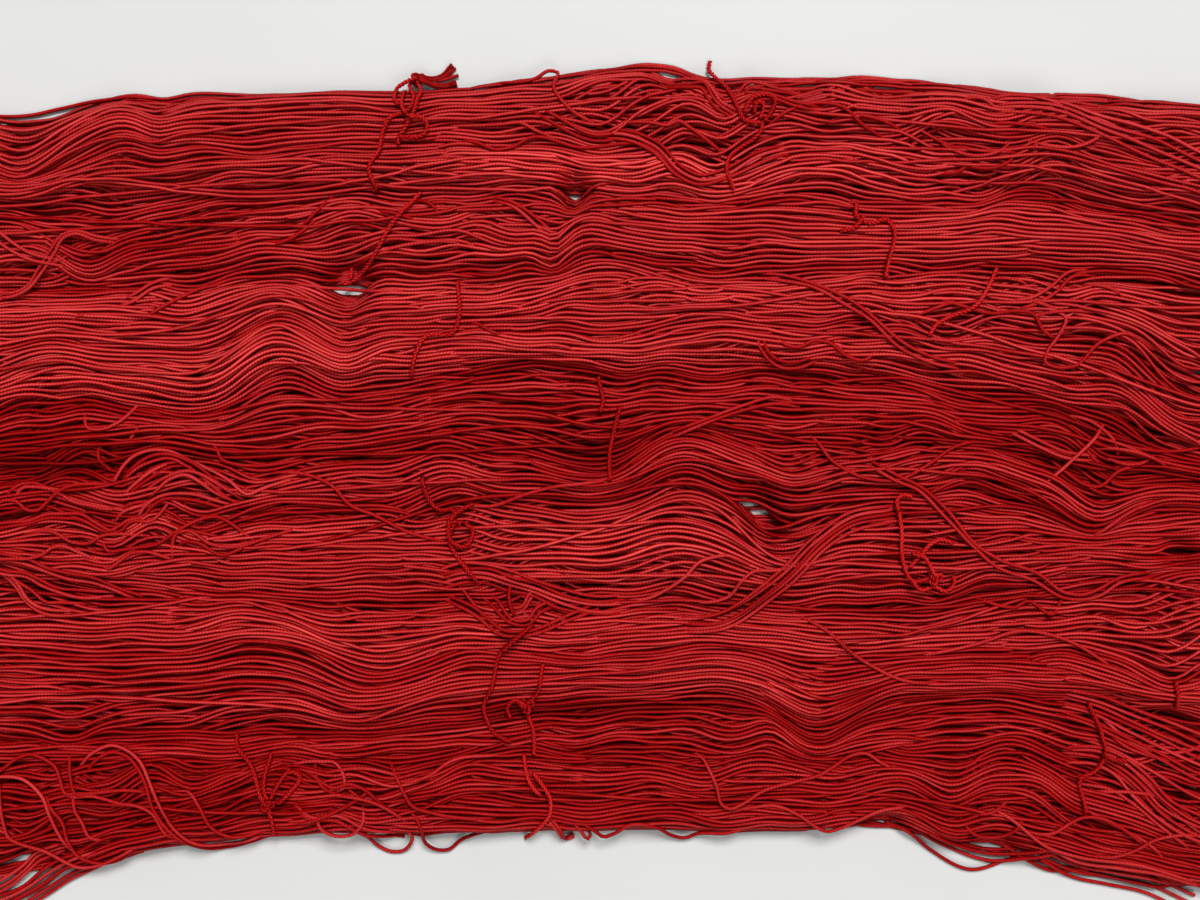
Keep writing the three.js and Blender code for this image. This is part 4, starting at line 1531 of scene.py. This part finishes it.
    def depths(self) -> np.ndarray:
        """Decides which sheet passes over the other, always the same one where the strands lie combed.

        Returns:
            Depth under the surface by turn and station, in strands.
        """
        _, y = self.flow.place(self.across, self.stations)
        combed = np.maximum(0.0, -bumps(UNRULY, self.stations, y))
        sway = ripple(self.rng, self.across, self.stations, self.lean_reach)
        lean = np.tanh(self.lean_sharpness * sway + self.comb * combed)
        sign = np.where(self.sheets == Sheet.FIRST, 1.0, -1.0)[:, None]
        depth = self.sheet_depth * (1.0 + sign * lean) + self.depth_fret * self.noise(self.wander_length)
        depth[self.sheets == Sheet.LOOSE] -= self.loose_lift
        return depth

    def settle(self, x: np.ndarray, y: np.ndarray, depths: np.ndarray) -> tuple[np.ndarray, np.ndarray]:
        """Moves the upper runs apart until they lie beside and on each other.

        Args:
            x: Places along the skein, by turn and station.
            y: Wished places across it.
            depths: Wished depth of each turn under the surface, in strands.

        Returns:
            The settled y and z.
        """
        held = np.clip(x, -self.nose, self.nose)
        wish_y = y.copy()
        z = self.surface.at(held, y) - self.radius - depths * self.spacing
        for done in range(self.passes):
            if done % self.look_again == 0:
                wish_z = self.surface.at(held, y) - self.radius - depths * self.spacing
            order = np.argsort(y, axis=0)
            ys, zs = np.take_along_axis(y, order, 0), np.take_along_axis(z, order, 0)
            move_y, move_z = np.zeros_like(ys), np.zeros_like(zs)
            for step in range(1, self.neighbours + 1):
                dy, dz = ys[step:] - ys[:-step], zs[step:] - zs[:-step]
                gap = np.sqrt(dy**2 + dz**2) + self.least_gap
                push = self.push_share * np.maximum(0.0, self.spacing - gap) / gap
                for move, off in ((move_y, push * dy), (move_z, push * dz)):
                    move[step:] += off
                    move[:-step] -= off
            np.put_along_axis(y, order, ys + move_y, 0)
            np.put_along_axis(z, order, zs + move_z, 0)
            off_y, off_z = self.keep_across * (y - wish_y), self.keep_up * (z - wish_z)
            for off in (off_y, off_z):
                off[:, 1:-1] += self.stiffness * (0.5 * (off[:, 2:] + off[:, :-2]) - off[:, 1:-1])
            y, z = wish_y + off_y, np.maximum(wish_z + off_z, self.radius)
        return y, z

    def upper_runs(self) -> np.ndarray:
        """Lays the turns' upper runs, and raises the relief under them.

        Returns:
            Their points.
        """
        x, y = self.flow.place(self.meander(), self.stations)
        ease = smoothstep(np.abs(self.stations), self.ragged_from, self.end_reach)
        for end in (-1.0, 1.0):
            short = self.rng.uniform(0.0, self.ragged, len(x))[:, None]
            x = x - np.where(self.stations * end > 0.0, end * short * ease, 0.0)
        y, z = self.settle(x, y, self.depths())
        y = y + self.noise(self.wiggle_length) * self.wiggle
        z = np.maximum(z + self.noise(self.wiggle_length) * self.wiggle, self.radius)
        upper = self.flow.part(x, y, z, self.parted_floor * self.radius)
        count = len(self.stations)
        at = np.linspace(0, count - 1, count * self.relief_steps)
        before = np.minimum(at.astype(int), count - 2)
        share = (at - before)[None, :, None]
        closely = upper[:, before] * (1.0 - share) + upper[:, before + 1] * share
        self.relief.lay(closely.reshape(-1, 3), self.radius)
        return upper

    def tones(self, lobes: np.ndarray) -> np.ndarray:
        """Chooses each turn's own shade, with painted shade on the turns beside the grooves.

        Args:
            lobes: Each turn's lobe.

        Returns:
            The shades.
        """
        tones = np.array([shade for _, shade in GROOVES])[lobes]
        tones += self.rng.normal(0.0, self.tone_spread, len(lobes))
        # Painted shade on the turns beside the grooves between the lobes.
        beside = np.abs(self.across[:, None] - self.flow.shares).min(axis=1)
        tones -= self.groove_shade * np.exp(-((beside / self.groove_reach) ** 2))
        tones[self.sheets == Sheet.LOOSE] -= self.loose_shade
        return tones

    def shades(self, turns: np.ndarray, tones: np.ndarray) -> np.ndarray:
        """Shades turns by their place: the listed patches, painted light where they stand out, and painted
        shade where they lie low or deep under other strands.

        Args:
            turns: Points of the turns.
            tones: Each turn's own shade.

        Returns:
            The shade by turn and point.
        """
        rise, depth = self.relief.standing(turns)
        shades = tones[:, None] + bumps(SHADES, turns[..., 0], turns[..., 1])
        # Painted light where the yarn stands out over its surroundings, painted shade where it lies low, and
        # more painted shade the deeper a point lies under the surface.
        shades += self.rise_shade * np.clip(rise / MM, -self.rise_most, self.rise_most)
        shades -= self.depth_shade * np.clip(depth / self.spacing, 0.0, self.depth_most)
        return shades

    def parted(self) -> np.ndarray:
        """Places along the skein where the runs below need points, because strands part there."""
        return np.array([(row[0] + row[2] * share) * MM for row in PARTINGS for share in self.part_marks])

    def bight(self, above: np.ndarray, below: np.ndarray, outward: float) -> np.ndarray:
        """Turns each strand back under itself at a loop end.

        Args:
            above: Last points of the upper runs.
            below: First points of the lower runs.
            outward: Direction of the loop end along x.

        Returns:
            The points of the turn by strand, from above to below.
        """
        count = self.bight_points
        angles = (math.pi / 2.0) * (1.0 - 2.0 * (np.arange(count) + 1.0) / (count + 1.0))
        middle, half = (above + below) / 2.0, (above[:, 2] - below[:, 2]) / 2.0
        share = (1.0 - np.sin(angles)) / 2.0
        points = np.repeat(middle[:, None], count, axis=1)
        points[:, :, 0] += outward * half[:, None] * np.cos(angles)
        points[:, :, 1] = above[:, 1:2] + (below[:, 1:2] - above[:, 1:2]) * share
        points[:, :, 2] += half[:, None] * np.sin(angles)
        return points

    def close(self, upper: np.ndarray, across: np.ndarray, layer: float, places: np.ndarray,
              floor: float) -> np.ndarray:
        """Adds the lower run and both loop ends to upper runs.

        Args:
            upper: Points of the upper runs.
            across: Each turn's distance from the far edge.
            layer: Height of the lower runs above the table, in strands.
            places: Places along the lower runs, from the right end to the left.
            floor: Least height of the lower runs.

        Returns:
            The points of the closed turns.
        """
        centre = self.flow.width / 2.0
        _, y = self.flow.place(centre + (across - centre) * self.under_share, places)
        share = (places + self.end_reach) / (2.0 * self.end_reach)
        x = upper[:, -1, :1] * share + upper[:, :1, 0] * (1.0 - share)
        height = self.radius * (1.0 + 2.0 * layer)
        lower = self.flow.part(x, y, np.full_like(x, height), floor)
        right = self.bight(upper[:, -1], lower[:, 0], 1.0)
        left = self.bight(upper[:, 0], lower[:, -1], -1.0)[:, ::-1]
        return np.concatenate([upper, right, lower, left], axis=1)

    def filling(self, under: np.ndarray) -> TubeBatch:
        """Lays the hidden turns that fill the skein under the others.

        Args:
            under: Places along the lower runs.

        Returns:
            The turns.
        """
        inset = self.filling_inset * self.pitch
        across = np.arange(inset, self.flow.width - inset, self.filling_pitch)
        places = np.unique(np.concatenate([self.stations[::self.filling_stride], self.parted()]))
        x, y = self.flow.place(across, places)
        z = self.surface.at(np.clip(x, -self.nose, self.nose), y) - self.filling_depth
        upper = self.flow.part(x, y, np.maximum(z, self.filling_least * self.radius), self.filling_radius)
        turns = self.close(upper, across, self.filling_layer, under, self.filling_radius)
        batch = TubeBatch()
        batch.add_loops(turns, self.filling_radius, self.sides, np.full(turns.shape[:2], self.filling_shade),
                        np.zeros(len(across)))
        return batch

    def build(self, material: bpy.types.Material) -> None:
        """Makes every turn, a piece for each lobe and one for the filling.

        Args:
            material: The yarn's finish.
        """
        upper = self.upper_runs()
        lobes = np.clip(np.searchsorted(self.flow.shares, self.across) - 1, 0, len(GROOVES) - 2)
        tones = self.tones(lobes)
        lots = self.rng.uniform(0.0, 1.0, len(lobes))
        coarse = np.linspace(self.end_reach, -self.end_reach, self.under_points)
        fine = np.unique(np.concatenate([coarse, self.parted()]))[::-1]
        sparse = np.append(coarse[::2], -self.end_reach)
        first = self.sheets == Sheet.FIRST
        batches = {}
        for lobe in range(len(GROOVES) - 1):
            batch = batches[f"strands_{lobe + 1:02d}"] = TubeBatch()
            for sheet, layer, under in ((first, 0.0, fine), (~first, self.second_layer, sparse)):
                mine = (lobes == lobe) & sheet
                turns = self.close(upper[mine], self.across[mine], layer, under, self.radius)
                batch.add_loops(turns, self.radius, self.sides, self.shades(turns, tones[mine]), lots[mine])
        batches["strands_inside"] = self.filling(fine)
        for name, batch in batches.items():
            piece = batch.build(name, material, Slot.YARN)
            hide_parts("skein")


@dataclass
class Strays:
    """Single strands that have slipped out of line."""

    relief: Relief
    radius: float = 0.60 * MM
    sides: int = 5
    step: float = 1.5 * MM
    taut_passes: int = 10
    smooth_passes: int = 4
    bedding: float = 0.35 * MM
    dive: float = 1.9 * MM
    dive_length: float = 7 * MM
    jitter: float = 0.25 * MM
    shades: tuple[float, float] = (0.22, 0.50)
    # Short strands in tangled places, in mm.
    scatter: float = 0.6
    bend_least: float = 0.8
    bend_gain: float = 2.0
    tangle_points: int = 6
    tangle_steps: tuple[float, float] = (2.5, 6.0)
    rng: np.random.Generator = field(default_factory=lambda: np.random.default_rng(SEED + 2))

    def laid(self, route: np.ndarray) -> np.ndarray:
        """Lays a route over the strands and sinks its ends between them.

        Args:
            route: Plan points.

        Returns:
            Points of its middle.
        """
        plan = curve_through(route, self.step)
        z = tightened(self.relief.over(plan, self.radius), self.taut_passes)
        for _ in range(self.smooth_passes):
            z[1:-1] = 0.5 * z[1:-1] + 0.25 * (z[2:] + z[:-2])
        along = distance_along(plan)
        z -= self.dive * (1.0 - smoothstep(np.minimum(along, along[-1] - along), 0.0, self.dive_length))
        return np.column_stack([plan, np.maximum(z - self.bedding, self.radius)])

    def routes(self) -> list[np.ndarray]:
        """Plans every stray strand: those that are listed, and short ones in the tangled places.

        Returns:
            The plan routes.
        """
        found = []
        for stray in STRAYS.values():
            points = np.array(stray.route, float) * MM
            slope = np.gradient(points, axis=0)
            normal = np.column_stack([-slope[:, 1], slope[:, 0]])
            normal /= np.linalg.norm(normal, axis=1, keepdims=True)
            apart = np.linspace(stray.first, stray.last, len(points))[:, None] * MM
            for i in range(stray.count):
                off = (i - (stray.count - 1) / 2.0) * apart
                found.append(points + normal * off + self.rng.normal(0.0, self.jitter, points.shape))
        for x, y, along, across, count, steep in TANGLES:
            for _ in range(count):
                centre = np.array((x, y)) + self.rng.normal(0.0, self.scatter, 2) * (along, across)
                heading = self.rng.normal(0.0, steep)
                bend = self.rng.normal(0.0, self.bend_least + self.bend_gain * steep)
                turn = heading + bend * np.linspace(-0.5, 0.5, self.tangle_points)
                steps = np.column_stack([np.cos(turn), np.sin(turn)]) * self.rng.uniform(*self.tangle_steps)
                found.append((centre + np.cumsum(steps, axis=0) - steps.sum(axis=0) / 2.0) * MM)
        return found

    def build(self, material: bpy.types.Material) -> None:
        """Makes every stray strand as one piece.

        Args:
            material: The yarn's finish.
        """
        batch = TubeBatch()
        for route in self.routes():
            path = self.laid(route)
            batch.add_path(path, self.radius, self.sides, self.rng.uniform(*self.shades), self.rng.uniform())
            self.relief.lay(path, self.radius)
        piece = batch.build("stray_strands", material, Slot.YARN)
        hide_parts("skein")


@dataclass
class Ties:
    """Cut lengths of yarn knotted round the lobes."""

    relief: Relief
    radius: float = 0.78 * MM
    turn: float = 2.5 * MM
    step: float = 0.6 * MM
    taut_passes: int = 30
    bedding: float = 0.25
    shades: tuple[float, float] = (0.3, 0.6)
    knot_size: float = 0.66 * MM
    knot_lift: float = 1.1
    knot_span: tuple[float, float] = (0.25, FULL_TURN + 0.1)
    knot_points: int = 80
    knot_cord: float = 0.85
    knot_shade: float = 0.05
    fibre: float = 0.17 * MM
    fibre_sides: int = 4
    fibre_count: int = 60
    fibre_shades: tuple[float, float] = (0.15, 0.6)
    fibre_floor: float = 0.2 * MM
    tuft_power: float = 1.5
    tuft_height: float = 0.7
    tuft_uneven: int = 3
    rng: np.random.Generator = field(default_factory=lambda: np.random.default_rng(SEED + 1))

    def laid(self, route: Route) -> np.ndarray:
        """Lays a route over the strands, taut across small hollows.

        Args:
            route: Plan points in millimetres.

        Returns:
            Closely spaced points of its middle.
        """
        plan = curve_through(np.array(route, float) * MM, self.step)
        z = tightened(self.relief.over(plan, self.radius), self.taut_passes) - self.bedding * self.radius
        return np.column_stack([plan, np.maximum(z, self.radius)])

    def knot(self, centre: np.ndarray) -> np.ndarray:
        """Runs the path of an overhand knot.

        Args:
            centre: Its middle.

        Returns:
            Closely spaced points along it.
        """
        t = np.linspace(*self.knot_span, self.knot_points)
        turn = self.rng.uniform(0.0, FULL_TURN)
        flat = np.column_stack([np.sin(t) + 2 * np.sin(2 * t), np.cos(t) - 2 * np.cos(2 * t)])
        spun = flat @ np.array([[math.cos(turn), -math.sin(turn)], [math.sin(turn), math.cos(turn)]])
        return centre + self.knot_size * np.column_stack([spun, self.knot_lift - np.sin(3 * t)])

    def tuft(self, batch: TubeBatch, route: Route, first: float, last: float) -> None:
        """Opens a cut end into a brush of loose fibres.

        Args:
            batch: Mesh that the fibres go into.
            route: Plan points of the brush's middle, in millimetres.
            first: Half its width at the start, in millimetres.
            last: Half its width at the end, in millimetres.
        """
        middle = self.laid(route)[::2]
        across, rise = carried_frames(middle)
        t = np.linspace(0.0, 1.0, len(middle))[:, None]
        width = (first + (last - first) * t**self.tuft_power) * MM
        for _ in range(self.fibre_count):
            out, angle = math.sqrt(self.rng.uniform()), self.rng.uniform(0.0, FULL_TURN)
            aside = math.cos(angle) * across + self.tuft_height * math.sin(angle) * rise
            path = middle + width * out * aside
            path = path[:len(path) - self.rng.integers(0, self.tuft_uneven)]
            path[:, 2] = np.maximum(path[:, 2], self.fibre_floor)
            shade = self.rng.uniform(*self.fibre_shades)
            batch.add_path(path, self.fibre, self.fibre_sides, shade, self.rng.uniform())

    def build(self, material: bpy.types.Material) -> None:
        """Makes every tie.

        Args:
            material: The ties' finish.
        """
        for name, tie in TIES.items():
            batch = TubeBatch()
            shade, lot = self.rng.uniform(*self.shades), self.rng.uniform()
            runs = []
            for route in (tie.route, *tie.legs):
                runs.append(self.laid(route))
                batch.add_twist(runs[-1], self.radius, self.turn, shade, lot)
                self.relief.lay(runs[-1], self.radius)
            if tie.knot is not None:
                away = runs[0][:, :2] - np.array(tie.route[tie.knot], float) * MM
                path = self.knot(runs[0][np.argmin(np.linalg.norm(away, axis=1))])
                batch.add_twist(path, self.knot_cord * self.radius, self.turn, shade - self.knot_shade, lot)
            for tuft in tie.tufts:
                self.tuft(batch, *tuft)
            piece = batch.build(f"{name}_cord", material, Slot.TIE)
            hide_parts(name)


@dataclass(frozen=True)
class Lamp:
    """A soft square lamp that faces the skein."""

    name: str
    place: tuple[float, float, float]
    size: float
    watts: float

    def hang(self) -> None:
        """Adds the lamp to the scene."""
        light = bpy.data.lights.new(self.name, "AREA")
        light.size = self.size
        light.energy = self.watts
        lamp = bpy.data.objects.new(self.name, light)
        lamp.location = self.place
        lamp.rotation_euler = (-Vector(self.place)).to_track_quat("-Z", "Y").to_euler()
        bpy.context.collection.objects.link(lamp)


@dataclass
class Studio:
    """Table, light and camera."""

    view_width: float = 360 * MM
    view_height: float = 10 * MM
    lens: float = 40.0
    sensor: float = 36.0
    table_size: float = 6.0
    table_drop: float = 0.2 * MM
    lamps: tuple[Lamp, ...] = (
        Lamp("key", (1.0, 4.5, 6.5), 2.7, 640.0),
        Lamp("fill", (0.5, -2.4, 2.6), 1.6, 33.0),
    )
    sky: float = 0.36

    def table(self) -> None:
        """Makes the pale table that the skein lies on."""
        mesh = bpy.data.meshes.new("table")
        sheet = bmesh.new()
        bmesh.ops.create_grid(sheet, x_segments=2, y_segments=2, size=self.table_size / 2.0)
        bmesh.ops.translate(sheet, verts=sheet.verts, vec=(0.0, 0.0, -self.table_drop))
        sheet.to_mesh(mesh)
        sheet.free()
        mesh.materials.append(TableFinish().material())
        table = bpy.data.objects.new("table", mesh)
        bpy.context.collection.objects.link(table)

    def light(self) -> None:
        """Lights the skein softly from beyond its far edge."""
        for lamp in self.lamps:
            lamp.hang()
        world = bpy.data.worlds.new("studio")
        bpy.context.scene.world = world
        world.use_nodes = True
        sky = world.node_tree.nodes["Background"]
        sky.inputs["Color"].default_value = (1.0, 1.0, 1.0, 1.0)
        sky.inputs["Strength"].default_value = self.sky

    def camera(self) -> None:
        """Looks straight down on the middle of the skein."""
        data = bpy.data.cameras.new("camera")
        data.sensor_width = self.sensor
        data.lens = self.lens
        camera = bpy.data.objects.new("camera", data)
        camera.location = (0.0, 0.0, self.view_height + self.view_width * self.lens / self.sensor)
        bpy.context.collection.objects.link(camera)
        bpy.context.scene.camera = camera
        bpy.context.scene.view_settings.view_transform = "Standard"


def main() -> None:
    """Builds the studio, the turns of yarn, the stray strands and the ties."""
    logging.basicConfig(level=logging.INFO, format="%(name)s: %(message)s")
    studio = Studio()
    studio.camera()
    studio.light()
    studio.table()
    yarn = YarnFinish("red_yarn").material()
    # The ties' finish: a darker red, with fuller painted shade down the sides of each ply and more in the
    # twist.
    tied = YarnFinish("red_tie", deep=(0.14, 0.0007, 0.0009), muted=(0.32, 0.0045, 0.0054),
                      full=(0.54, 0.0180, 0.0190), bright=(0.80, 0.090, 0.086), side_shade=1.0,
                      ply_shade=0.3).material()
    relief = Relief()
    Turns(Flow(), Surface("skein"), relief).build(yarn)
    Strays(relief).build(yarn)
    Ties(relief).build(tied)


if __name__ == "__main__":
    main()
